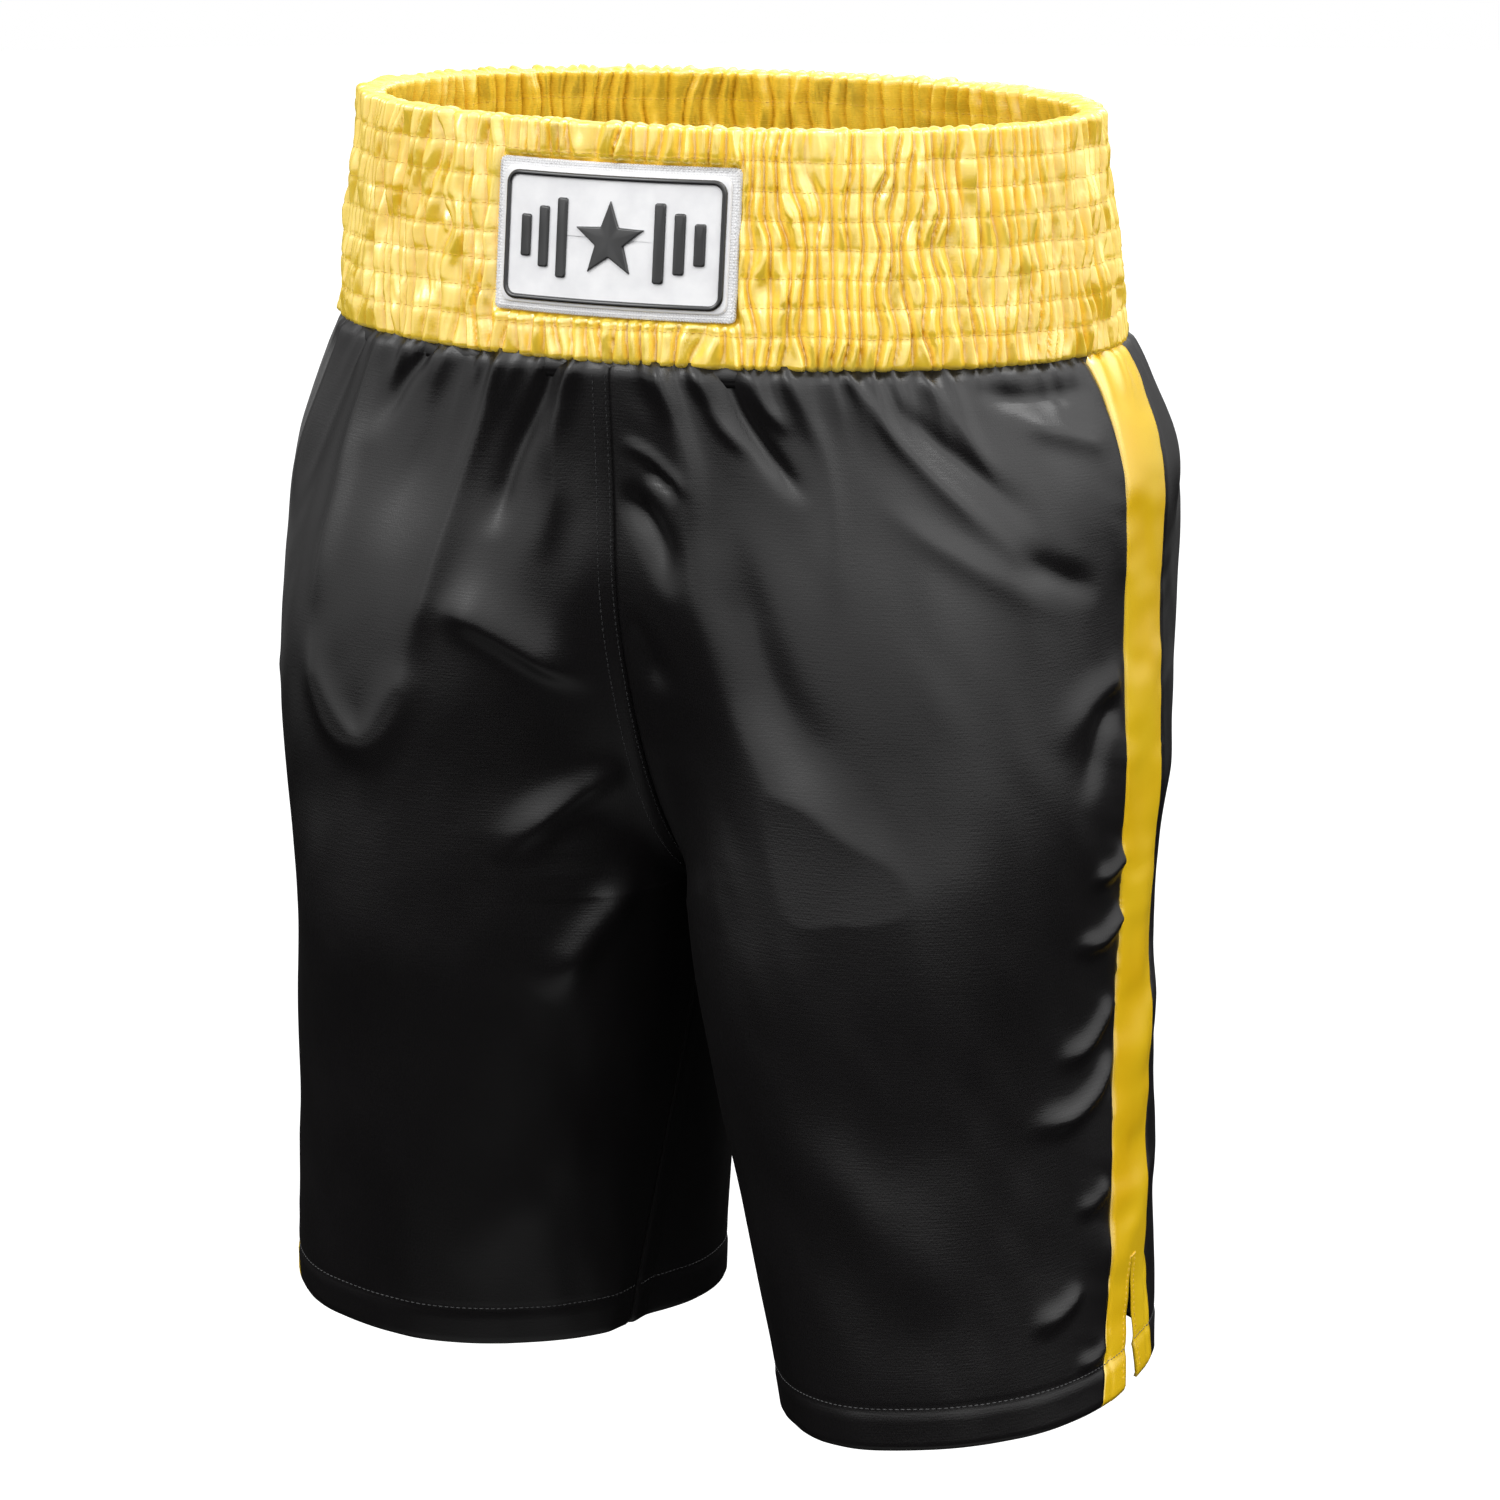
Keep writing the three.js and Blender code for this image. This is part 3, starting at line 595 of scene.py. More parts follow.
def make_cover(outer_wall, inner_wall):
    """The gathered cover: one sheet from the tuck behind the outer wall over the top to the tuck inside."""
    fold = rolled_top(outer_wall[0], inner_wall[-1])
    tuck_out, tuck_in = (band_point(band_angle, inset, TUCK_DEPTH)[None] for inset in (3.2, 4.6))
    grid = np.concatenate([tuck_out, outer_wall[::-1], fold, inner_wall[::-1], tuck_in])
    steps = np.abs(np.diff(grid.mean(axis=1)[:, 2])) + 0.2
    uv = sheet_uv(CLOTH_PER_LENGTH * around, np.concatenate([[0], np.cumsum(steps)]))
    faces = grid_faces(len(grid), BAND_COLUMNS, close_columns=True)[:, ::-1]
    cover = add_mesh("waistband_cover_cloth", grid, faces, GOLD, uv)
    stand_for(cover, "waistband_cover")
    # The inner wall takes the darker copy of the gold satin, painted shade for the inside of the waistband.
    cover.data.materials.append(GOLD_SHADED_INSIDE)
    inside = np.repeat(np.arange(len(grid) - 1) >= len(outer_wall) + len(fold), BAND_COLUMNS)
    cover.data.polygons.foreach_set("material_index", inside.astype(np.int32))
    return cover


def sew_band(outer_wall, inner_wall):
    """The stitch rows that gather the cover, seen on both walls."""
    threads = []
    for k, depth in enumerate(STITCH_DEPTHS):
        for name, wall, depths, facing, lift in (
            ("band_stitch_row", outer_wall, outer_depths, 1, 0.05),
            ("band_inner_stitch_row", inner_wall, inner_depths, -1, 0),
        ):
            line = closed(wall[int(np.argmin(np.abs(depths - depth)))])
            out = facing * straight_out(line)
            threads.append(stitches(
                f"{name}_{k + 1}", line + out * lift, out, GOLD_THREAD, pitch=3.0, length=2.3, radius=0.2,
            ))
    return threads


def make_elastic():
    """The ribbed elastic inside the cover."""
    along, depth = np.meshgrid(around[::ELASTIC_STEP], np.linspace(4, 98, ELASTIC_ROWS))
    inset = 3.15 + 0.15 * np.sin(depth * 2.1) + 0.1 * np.sin(along * 0.9)
    outer, inner = (band_point(band_angle[::ELASTIC_STEP], inset + t, depth) for t in (0, ELASTIC_THICKNESS))
    loop = np.concatenate([outer, inner[::-1]])
    uv = np.stack([np.concatenate([along, along]), loop[..., 2]], axis=-1)
    faces = grid_faces(*loop.shape[:2], close_columns=True, close_rows=True)
    piece = add_mesh("waistband_elastic_knit", loop, faces, ELASTIC, uv)
    return stand_for(piece, "waistband_elastic")


outer_wall = band_wall(outer_depths, 2.2, 0.2, 6.8, OUTER_SEED, -1)
inner_wall = band_wall(inner_depths, 4.7, 0.4, 6.6, INNER_SEED, 1, INNER_PITCH)
cover = make_cover(outer_wall, inner_wall)
band_threads = sew_band(outer_wall, inner_wall)
elastic = make_elastic()


# ---------------------------------------------------------------- body cloth

UPPER_ROWS = 120
LOWER_ROWS = 104
FRONT_COLUMNS = 138
HALF_STRIPE_COLUMNS = 13
BACK_COLUMNS = 150
CLOTH = 0.5
HIGHEST_FOLD = 9
SAMPLES = np.linspace(0, 1, 1201)
SLIT = FRONT_COLUMNS + HALF_STRIPE_COLUMNS
STRIPE_START, STRIPE_END = FRONT_COLUMNS, SLIT + HALF_STRIPE_COLUMNS + 1


def row_depths():
    """Depths of the cloth's rows, closer together where the rise curves round the crotch."""
    depths = []
    for k in range(UPPER_ROWS + 1):
        curved = math.sin(math.pi / 2 * k / UPPER_ROWS) ** (2 / RISE_POWER)
        depths.append(mix(BAND_HEIGHT, CROTCH_DEPTH, mix(k / UPPER_ROWS, curved, 0.72)))
    depths += [mix(CROTCH_DEPTH, HEM_DEPTH, k / LOWER_ROWS) for k in range(1, LOWER_ROWS + 1)]
    return np.array(depths)


rows = row_depths()
vent_row = int(np.argmax(rows > HEM_DEPTH - VENT_HEIGHT))


def neighbour_weights(reach):
    """For each row, how much each row counts in an average over the rows near it."""
    return np.exp(-((rows[:, None] - rows[None, :]) / reach) ** 2) * np.gradient(rows)[None, :]


def settled(lengths):
    """A length at each row, averaged over the rows within about 40 mm."""
    weights = neighbour_weights(28)
    return weights @ lengths / weights.sum(axis=1)


def edge_distances(points):
    """Distance along the cloth from its first column and from its last."""
    steps = np.linalg.norm(np.diff(points, axis=1), axis=2)
    edge = np.zeros((len(points), 1))
    from_first = np.concatenate([edge, np.cumsum(steps, axis=1)], axis=1)
    from_last = np.concatenate([np.cumsum(steps[:, ::-1], axis=1)[:, ::-1], edge], axis=1)
    return from_first, from_last


def stripe_centres(sections, lengths):
    """Where the stripe's centre lies along each row's section."""
    outside = (SAMPLES > 0.3) & (SAMPLES < 0.7)
    centres = []
    for depth, section, along in zip(rows, sections, lengths):
        y = mix(STRIPE_TOP_Y, STRIPE_HEM_Y, part_way(CROTCH_DEPTH, HEM_DEPTH, depth))
        centres.append(np.interp(y, section[outside, 1], along[outside]))
    return np.array(centres)


def body_grid(stance):
    """Points of one side's cloth, and how far each is forward of the stripe's centre along the cloth."""
    sections = [eased_section(stance, depth, SAMPLES) for depth in rows]
    lengths = [lengths_along(section) for section in sections]
    centres = stripe_centres(sections, lengths)
    totals = np.array([along[-1] for along in lengths])
    slits = VENT_HEM_GAP * np.maximum((rows - (HEM_DEPTH - VENT_HEIGHT)) / VENT_HEIGHT, 0)
    fronts = centres - (STRIPE_WIDTH + slits) / 2
    backs = totals - centres - (STRIPE_WIDTH + slits) / 2
    calm_fronts, calm_backs = settled(fronts), settled(backs)
    to_stripe = np.linspace(1, 0, FRONT_COLUMNS + 1)
    to_back = np.linspace(0, 1, BACK_COLUMNS + 1)[1:]
    half = np.linspace(0, STRIPE_WIDTH / 2, HALF_STRIPE_COLUMNS + 1)
    points, forward = [], []
    for k in range(len(rows)):
        front = calm_fronts[k] * to_stripe + (fronts[k] - calm_fronts[k]) * to_stripe ** 4
        back = calm_backs[k] * to_back + (backs[k] - calm_backs[k]) * to_back ** 4
        at = np.concatenate([
            fronts[k] - front, fronts[k] + half[1:],
            centres[k] + slits[k] / 2 + half, centres[k] + (STRIPE_WIDTH + slits[k]) / 2 + back,
        ])
        points.append(sample(sections[k], lengths[k], at))
        forward.append(centres[k] - at)
    points, forward = np.array(points), np.array(forward)
    weights = neighbour_weights(12)
    weights = weights / weights.sum(axis=1, keepdims=True)
    calm = np.einsum("ij,jkl->ikl", weights, points)
    inside = np.minimum(*edge_distances(points))
    share = smooth(60, 120, inside) * smooth(110, 50, np.abs(rows - CROTCH_DEPTH))[:, None]
    return mix(points, calm, share[..., None]), mix(forward, weights @ forward, share)


def stroke(e, d, path, height, width, sharp=2.0, taper=(0.25, 0.35)):
    """A ridge (or with a negative height a valley) of a fold along a path of (e, d) points.
    Width may be a pair, for the start and the end, and a third number scales it on the lower side of a path
    that runs forward. Taper is the share over which each end fades."""
    path = np.array(path, float)
    lengths = lengths_along(path)
    curve = sample(path, lengths, np.linspace(0, lengths[-1], max(8, int(lengths[-1] / 5))))
    for _ in range(3):
        curve[1:-1] = (curve[:-2] + 2 * curve[1:-1] + curve[2:]) / 4
    start, end, lower = (*((width, width) if np.isscalar(width) else width), 1)[:3]
    reach = 3 * max(start, end)
    low, high = curve.min(axis=0) - reach, curve.max(axis=0) + reach
    near = (e > low[0]) & (e < high[0]) & (d > low[1]) & (d < high[1])
    best = np.full(near.sum(), 1e9)
    share, below = np.zeros((2, near.sum()))
    en, dn = e[near], d[near]
    for k in range(len(curve) - 1):
        a = curve[k]
        step = curve[k + 1] - a
        t = np.clip(((en - a[0]) * step[0] + (dn - a[1]) * step[1]) / (step @ step + 1e-9), 0, 1)
        away = np.hypot(en - a[0] - t * step[0], dn - a[1] - t * step[1])
        closer = away < best
        best[closer] = away[closer]
        share[closer] = ((k + t) / (len(curve) - 1))[closer]
        below[closer] = (step[0] * (dn - a[1]) - step[1] * (en - a[0]))[closer]
    wide = mix(start, end, share) * mix(1, lower, smooth(-2, 2, below / 5))
    fade = smooth(0, taper[0] + 1e-6, share) if taper[0] else 1.0
    fade = fade * (smooth(0, taper[1], 1 - share) if taper[1] else 1.0)
    out = np.zeros_like(e)
    out[near] = height * fade * np.exp(-np.abs(best / wide) ** sharp)
    return out


# Folds of the front as (path of (e, d) points, height, width, sharpness, taper). e is millimetres forward
# of the stripe's centre along the cloth, and d is millimetres below the top of the waistband.
FOLDS = {
    "right": (
        ([(116, 104), (122, 135), (130, 168), (131, 204), (127, 240)], 3.4, (4, 8), 1.6, (0, 0.3)),
        ([(195, 104), (199, 139), (198, 174), (193, 210), (185, 245)], 4.6, (5, 9), 1.5, (0, 0.25)),
        ([(129, 222), (133, 250), (145, 272), (162, 283), (175, 272), (184, 250), (190, 222)],
         3.6, (8, 9), 1.8, (0.3, 0.3)),
        ([(230, 104), (235, 135), (245, 160), (245, 195)], 3.6, (4, 7), 1.6, (0, 0.4)),
        ([(196, 212), (208, 216), (222, 222), (238, 231), (256, 242), (272, 248)],
         5.6, (17, 10, 0.45), 1.7, (0.25, 0.4)),
        ([(222, 332), (245, 311), (265, 297), (285, 284)], 4.4, (10, 8, 0.8), 1.8, (0.4, 0.3)),
        ([(234, 398), (252, 382), (270, 364), (284, 352), (298, 342)], 4.8, (9, 9, 0.8), 1.8, (0.35, 0.3)),
        ([(150, 104), (140, 120), (138, 150)], -3.2, (5, 8), 1.7, (0, 0.5)),
        ([(220, 104), (219, 140), (217, 185)], -4.2, (6, 6), 1.7, (0, 0.3)),
        ([(175, 104), (172, 150), (165, 200)], -2.6, (8, 12), 2.0, (0, 0.5)),
        ([(95, 104), (98, 150), (90, 210)], -3.0, (7, 14), 2.0, (0, 0.5)),
        ([(78, 104), (84, 150), (80, 200)], 3.0, (6, 12), 1.7, (0, 0.5)),
        ([(40, 250), (60, 262), (90, 262)], 2.2, (6, 9), 1.8, (0.3, 0.5)),
        ([(35, 330), (60, 345), (80, 340)], 2.4, (5, 8), 1.8, (0.2, 0.5)),
        ([(250, 440), (200, 500), (150, 540)], 2.4, (12, 16), 2.0, (0.4, 0.5)),
    ),
    "left": (
        ([(120, 352), (148, 330), (178, 308), (206, 280), (226, 247), (236, 205), (236, 172), (228, 145),
          (222, 104)], 5.6, (26, 4, 1.6), 1.9, (0.35, 0)),
        ([(214, 170), (212, 215), (196, 255), (170, 285)], -2.2, (7, 14), 1.9, (0.3, 0.4)),
        ([(165, 104), (166, 140), (172, 180), (174, 215)], 1.6, (3.5, 8), 1.7, (0, 0.5)),
        ([(194, 104), (196, 120), (188, 146), (176, 158)], -4.6, (4, 5), 1.6, (0, 0.4)),
        ([(206, 104), (207, 128), (196, 140)], 2.2, (3.5, 4), 1.7, (0, 0.4)),
        ([(182, 104), (183, 118), (176, 130)], 2.4, (3.5, 4), 1.7, (0, 0.4)),
        ([(140, 104), (134, 128), (122, 148), (104, 168), (84, 190)], 2.6, (4, 6), 1.6, (0, 0.5)),
        ([(128, 112), (116, 132), (102, 144), (90, 158), (78, 176)], -2.4, (5, 6), 1.7, (0.2, 0.5)),
        ([(108, 104), (103, 128), (98, 144), (88, 160)], 2.2, (4.5, 5.5), 1.7, (0.1, 0.4)),
        ([(152, 152), (130, 172), (110, 184), (90, 196), (66, 212)], 1.8, (5, 8), 1.7, (0.35, 0.5)),
        ([(96, 178), (72, 190), (48, 199)], -2.4, (7, 6), 1.8, (0.35, 0.4)),
        ([(95, 112), (62, 116), (28, 114)], -3.0, (5, 5), 1.7, (0.3, 0.3)),
        ([(80, 124), (50, 134), (30, 140)], 2.2, (5, 5), 1.8, (0.3, 0.3)),
        ([(250, 146), (243, 152), (234, 156)], -2.6, (3.2, 3.2), 1.8, (0.3, 0.3)),
        ([(262, 138), (250, 136), (238, 146), (228, 158)], 1.6, (3, 3), 1.8, (0.3, 0.3)),
        ([(272, 158), (258, 164), (248, 180), (250, 205)], -4.6, (6, 8), 1.8, (0.2, 0.5)),
        ([(282, 215), (268, 232), (262, 250)], -3.2, (8, 10), 1.9, (0.3, 0.4)),
        ([(30, 250), (50, 256), (66, 292)], -3.0, (6, 9), 1.8, (0.2, 0.4)),
        ([(28, 240), (60, 244), (82, 268)], 2.2, (6, 9), 1.8, (0.2, 0.4)),
        ([(24, 322), (42, 328), (60, 324)], 2.4, (5, 5, 0.7), 1.8, (0.1, 0.4)),
        ([(24, 347), (46, 358), (70, 352)], 3.2, (6, 5, 0.7), 1.8, (0.1, 0.4)),
        ([(30, 384), (42, 397), (58, 405), (76, 402)], 3.0, (5, 6, 0.7), 1.8, (0.2, 0.4)),
        ([(26, 408), (40, 424), (62, 433), (92, 430)], 3.6, (5, 7, 0.7), 1.8, (0.2, 0.4)),
        ([(28, 470), (45, 478), (58, 474)], 1.6, (5, 5, 0.7), 1.8, (0.2, 0.4)),
        ([(48, 512), (66, 524), (86, 524)], 2.4, (5, 6, 0.7), 1.8, (0.3, 0.4)),
        ([(26, 546), (40, 552), (56, 548)], 1.6, (4, 4, 0.7), 1.8, (0.2, 0.4)),
        ([(210, 420), (160, 470), (120, 520)], 2.2, (16, 20), 2.0, (0.4, 0.5)),
    ),
}


# Broad fullness of the cloth over each thigh and the seat: (e, d, height, half width, half length).
FULLNESS = {
    "right": ((155, 250, 7.0, 95, 62), (-130, 250, 5, 110, 90)),
    "left": (
        (165, 330, 7.5, 85, 85), (92, 286, 5.0, 60, 80), (60, 215, 2.5, 50, 60), (-130, 250, 5, 110, 90),
    ),
}


def gathers(e, d, front_edge, back_edge, seed):
    """Pleats let out below the waist seam: close small ones, and wider soft ones that run further down."""
    rng = np.random.default_rng(seed)
    height = np.zeros_like(e)
    here = back_edge + 6
    while here < front_edge - 14:
        long = rng.uniform(16, 46)
        lean = rng.uniform(-0.16, 0.16) + 0.0009 * here
        path = [(here, 99), (here + lean * long, 101 + long)]
        tall = rng.uniform(1.0, 2.3)
        height += stroke(e, d, path, tall, (rng.uniform(1.9, 3.0), rng.uniform(4, 7)), 1.8, (0, 0.8))
        here += rng.uniform(6.5, 13)
    return height


def back_folds(e, d, back_edge, seed):
    """Soft folds of the back and the seat, which the photograph doesn't show."""
    rng = np.random.default_rng(seed)
    height = np.zeros_like(e)
    here = -44
    while here > back_edge + 22:
        long = rng.uniform(80, 190)
        lean = rng.uniform(-0.22, 0.10)
        path = [(here, 101), (here + 0.4 * lean * long, 101 + 0.5 * long), (here + lean * long, 101 + long)]
        tall = rng.uniform(2.4, 5.0) * rng.choice([1, 1, -0.7])
        height += stroke(e, d, path, tall, (rng.uniform(4, 6), rng.uniform(10, 15)), 1.7, (0, 0.6))
        here -= rng.uniform(20, 38)
    for _ in range(9):
        e0, d0 = rng.uniform(back_edge * 0.85, -60), rng.uniform(270, 470)
        slope = rng.uniform(0.25, 0.9)
        long = rng.uniform(60, 120)
        path = [(e0, d0), (e0 + 0.5 * long, d0 + 0.4 * slope * long), (e0 + long, d0 + slope * long)]
        tall = rng.uniform(1.2, 2.6)
        height += stroke(e, d, path, tall, (rng.uniform(10, 14), rng.uniform(14, 20)), 1.8, (0.45, 0.5))
    return height


def seam_puckers(e, d, seed):
    """Small slanting wrinkles that the stripe's seams pull into the cloth beside them."""
    beside = np.abs(np.abs(e) - STRIPE_WIDTH / 2)
    black_side = np.abs(e) > STRIPE_WIDTH / 2
    slant = d + 0.35 * np.abs(e)
    ripple = noise(slant / 7, e / 40, seed) * 0.35 + noise(slant / 16, e / 60, seed + 1) * 0.8
    return ripple * np.where(black_side, np.exp(-beside / 14), np.exp(-beside / 10) * 0.5)


def relief(side, e, d):
    """Outward displacement of the cloth, in millimetres."""
    seed = 100 if side == "left" else 200
    top_row = np.abs(d - BAND_HEIGHT - 4).argmin(axis=0)[0]
    front_edge, back_edge = e[top_row, 0], e[top_row, -1]
    height = np.zeros_like(e)
    for fold in FOLDS[side]:
        height += stroke(e, d, *fold)
    height += gathers(e, d, front_edge, back_edge, seed + 1)
    height += back_folds(e, d, back_edge, seed + 2)
    height += seam_puckers(e, d, seed + 3)
    for centre_e, centre_d, tall, wide, long in FULLNESS[side]:
        height += tall * np.exp(-(((e - centre_e) / wide) ** 2) - ((d - centre_d) / long) ** 2)
    if side == "left":
        height -= 8 * smooth(330, 560, d) * np.exp(-((e - 72) / 58) ** 2)
    height += 2.6 * smooth(120, 330, d) * noise(e / 75, d / 190, seed + 10)
    height += 1.0 * smooth(130, 260, d) * noise(e / 34, d / 60, seed + 11)
    height += 0.30 * noise(e / 13 + 0.02 * d, d / 26, seed + 12)
    across_stripe = 0.7 * noise(e / 55, d / 22, seed + 13)
    across_stripe += 0.35 * noise(e / 30 + 0.02 * d, d / 10, seed + 14)
    height += np.where(np.abs(e) < STRIPE_WIDTH / 2, across_stripe, 0)
    return height


def ditch(away, depth, width):
    return -depth * np.exp(-(away / width) ** 2)


def cloth_normals(points, stance):
    """Outward directions of the undisplaced cloth, shared where two of its edges are sewn together."""
    normals = grid_normals(points) * stance["side"]
    if np.sum(normals[5, SLIT] * np.array([stance["side"], 0, 0])) < 0:
        normals = -normals
    above = rows <= CROTCH_DEPTH
    for column in (0, -1):
        normals[above, column] = unit(normals[above, column] * np.array([0, 1, 1]))
    join_slit(normals)
    normals[~above, 0] = normals[~above, -1] = unit(normals[~above, 0] + normals[~above, -1])
    return normals


def join_slit(directions):
    """Give the stripe's two halves one direction where they meet, above the vent."""
    shut = rows <= HEM_DEPTH - VENT_HEIGHT
    middle = unit(directions[shut, SLIT - 1] + directions[shut, SLIT + 2])
    directions[shut, SLIT] = directions[shut, SLIT + 1] = middle


def drape(side):
    """One side's cloth: displaced outer points, their normals, e and d, and the cloth's thickness there."""
    points, e = body_grid(STANCE[side])
    d = rows[:, None] + 0 * e
    normals = cloth_normals(points, STANCE[side])
    from_seam = np.minimum(*edge_distances(points))
    from_hem = HEM_DEPTH - d
    height = relief(side, e, d) * smooth(0, 16, from_seam)
    height += ditch(from_seam, 1.0, 1.6)
    height += ditch(np.abs(np.abs(e) - STRIPE_WIDTH / 2), 0.9, 1.1) * (d < HEM_DEPTH - 1)
    height *= smooth(0, 24, np.hypot(rows[:, None] - CROTCH_DEPTH, from_seam))
    height = np.clip(height, -HIGHEST_FOLD, HIGHEST_FOLD)
    height += mix(-2.6, 0, smooth(BAND_HEIGHT, BAND_HEIGHT + 7, d))
    height += ditch(np.abs(from_hem - HEM_ALLOWANCE + 0.5), 0.5, 1.3)
    hem_roll = 0.4 * smooth(0, 2, from_hem) * smooth(HEM_ALLOWANCE, HEM_ALLOWANCE - 3, from_hem)
    height += hem_roll - 0.4 * smooth(1.6, 0, from_hem)
    outer = points + normals * height[..., None]
    thick = CLOTH + 1.0 * smooth(HEM_ALLOWANCE + 0.5, HEM_ALLOWANCE - 1, from_hem)
    facing = grid_normals(outer)
    facing = facing * np.sign(np.sum(facing * normals, axis=-1, keepdims=True))
    facing[:, 0], facing[:, -1] = normals[:, 0], normals[:, -1]
    join_slit(facing)
    return outer, facing, e, d, thick


def vented(columns):
    """Faces of the stripe's outer wall without those across the slit, and the points round its edge."""
    half = SLIT - STRIPE_START
    keep = np.ones((len(rows) - 1, columns - 1), bool)
    keep[vent_row:, half] = False
    index = np.arange(len(rows) * columns).reshape(len(rows), columns)
    rim = np.concatenate([
        index[0, :], index[1:, -1], index[-1, -2:half:-1], index[-2:vent_row - 1:-1, half + 1],
        index[vent_row:, half], index[-1, half - 1::-1], index[-2:0:-1, 0],
    ])
    return dict(front=grid_faces(len(rows), columns)[keep.ravel()], rim=rim)


cloths = {}


def make_side(side):
    """One side's front panel, stripe and back panel, cut from one draped surface."""
    outer, facing, e, d, thick = drape(side)
    inner = outer - facing * thick[..., None]
    uv = np.stack([e, -d], axis=-1)
    cloths[side] = dict(outer=outer, facing=facing, thick=thick)
    for name, start, end, material, slot in (
        ("front_panel", 0, STRIPE_START + 1, BLACK, "black_satin"),
        ("side_stripe", STRIPE_START, STRIPE_END + 1, GOLD_STRIPE, "gold_satin"),
        ("back_panel", STRIPE_END, outer.shape[1], BLACK, "black_satin"),
    ):
        part = slice(start, end)
        is_stripe = name == "side_stripe"
        edges = vented(end - start) if is_stripe else {}
        piece = shell(f"{name}_{side}_cloth", outer[:, part], inner[:, part], material, uv[:, part], **edges)
        if is_stripe:
            weld(piece)
        stand_for(piece, f"{name}_{side}")


for side in STANCE:
    make_side(side)


# ---------------------------------------------------------------- seams and hems

def strip(name, columns, kept, material, offset=0.3, thickness=0.7):
    """A seam allowance on the inside with both its edges overlocked, on (side, column) lines of the cloth."""
    line, inward = [], []
    for side, column in columns:
        cloth = cloths[side]
        inward.append(-cloth["facing"][kept, column])
        line.append(cloth["outer"][kept, column] + inward[-1] * cloth["thick"][kept, column, None])
    line, inward = np.stack(line, axis=1), np.stack(inward, axis=1)
    ripple = 0.18 * noise(rows[kept][:, None] / 5 + 0 * line[..., 0], 0 * line[..., 0], len(name))
    near, far = (line + inward * (out + ripple[..., None]) for out in (offset, offset + thickness))
    uv = sheet_uv(np.arange(len(columns)) * 1.9, -rows[kept])
    piece = stand_for(shell(name + "_allowance", near, far, material, uv), name)
    first = overlock(name + "_overlock", far[:, 0], far[:, 1], inward[:, 0], BLACK_THREAD)
    other = overlock(name + "_overlock_other", far[:, -1], far[:, -2], inward[:, -1], BLACK_THREAD)
    return [piece, first, other]


def rows_between(low, high):
    return np.flatnonzero((rows > low) & (rows < high))


upper_rows = rows_between(BAND_HEIGHT + 6, CROTCH_DEPTH - 1)
leg_rows = rows_between(CROTCH_DEPTH + 4, HEM_DEPTH - 4)
side_rows = rows_between(BAND_HEIGHT + 6, HEM_DEPTH - 4)
rise_rows = rows_between(BAND_HEIGHT + 5, CROTCH_DEPTH - 6)
last = STRIPE_END + BACK_COLUMNS
panel_threads = {side: [] for side in STANCE}
for side in STANCE:
    for name, centre in (("stripe_front_seam", STRIPE_START), ("stripe_back_seam", STRIPE_END)):
        columns = [(side, centre + k) for k in (-2, -1, 0, 1, 2)]
        panel_threads[side] += strip(f"{name}_{side}", columns, side_rows, BLACK)
    columns = [(side, column) for column in (2, 1, 0, last - 1, last - 2)]
    panel_threads[side] += strip(f"inseam_{side}", columns, leg_rows, BLACK)
for name, edge, step in (("front_rise_seam", 0, 1), ("back_rise_seam", last, -1)):
    columns = [("left", edge + k * step) for k in (2, 1, 0)] + [("right", edge + k * step) for k in (1, 2)]
    panel_threads["left"] += strip(name, columns, upper_rows, BLACK)


def cloth_path(side, from_edge, kept, back):
    """A line down one side's cloth at a distance from the front or back rise, with its outward directions."""
    points, outward = [], []
    nearest = slice(None, -61, -1) if back else slice(0, 60)
    for i in kept:
        row, facing = cloths[side]["outer"][i, nearest], cloths[side]["facing"][i, nearest]
        along = lengths_along(row)
        points.append(sample(row, along, from_edge))
        outward.append(sample(facing, along, from_edge))
    return np.array(points), np.array(outward)


for name, away, back in (
    ("front_rise_topstitch", 7.5, False),
    ("front_rise_edge_stitch", 1.6, False),
    ("back_rise_topstitch", 7.5, True),
    ("back_rise_edge_stitch", 1.6, True),
):
    path, outward = cloth_path("right", away, rise_rows, back)
    panel_threads["right"].append(
        stitches(name, path, outward, BLACK_THREAD, pitch=2.9, length=2.2, radius=0.26)
    )


def sew(name, side, row, column, material, **sizes):
    """Stitches along a row or a column of one side's cloth."""
    cloth = cloths[side]
    threads = stitches(
        f"{name}_{side}", cloth["outer"][row, column], cloth["facing"][row, column], material, **sizes,
    )
    panel_threads[side].append(threads)


hem_row = int(np.argmin(np.abs(rows - (HEM_DEPTH - HEM_ALLOWANCE + 0.5))))
beside_vent = slice(vent_row - 3, -2)
for side in STANCE:
    for part, columns in (("front", slice(0, SLIT + 1)), ("back", slice(SLIT + 1, None))):
        sew(f"hem_stitch_{part}", side, hem_row, columns, GREY_THREAD, pitch=2.7, length=2.2)
    for part, column in (("front", SLIT - 2), ("back", SLIT + 3)):
        sew(f"vent_stitch_{part}", side, beside_vent, column, GOLD_THREAD, pitch=2.7, length=2.1)
    sew(
        "vent_tack", side, vent_row - 2, slice(SLIT - 2, SLIT + 4), GOLD_THREAD,
        pitch=0.8, length=1.6, radius=0.3, lift=0.3,
    )


# ---------------------------------------------------------------- waist seam

RING_POINTS = 480
RING_PROFILE = ((1.6, 101), (4.4, 100.6), (5.2, 103.5), (5.0, 107), (4.2, 110), (2.6, 110.4), (1.8, 107))


def body_ring(depth, inset):
    """The whole body's section at one depth, moved inward, from the centre front by the wearer's left."""
    s = np.linspace(0, 1, RING_POINTS // 2 + 1)
    left, right = (body_section(STANCE[side], depth, s) for side in ("left", "right"))
    ring = np.concatenate([left[:-1], right[:0:-1]])
    along = np.roll(ring, -1, 0) - np.roll(ring, 1, 0)
    return ring + unit(np.cross(UP, along)) * inset


def ring_inward(depth):
    return unit(body_ring(depth, 1) - body_ring(depth, 0))


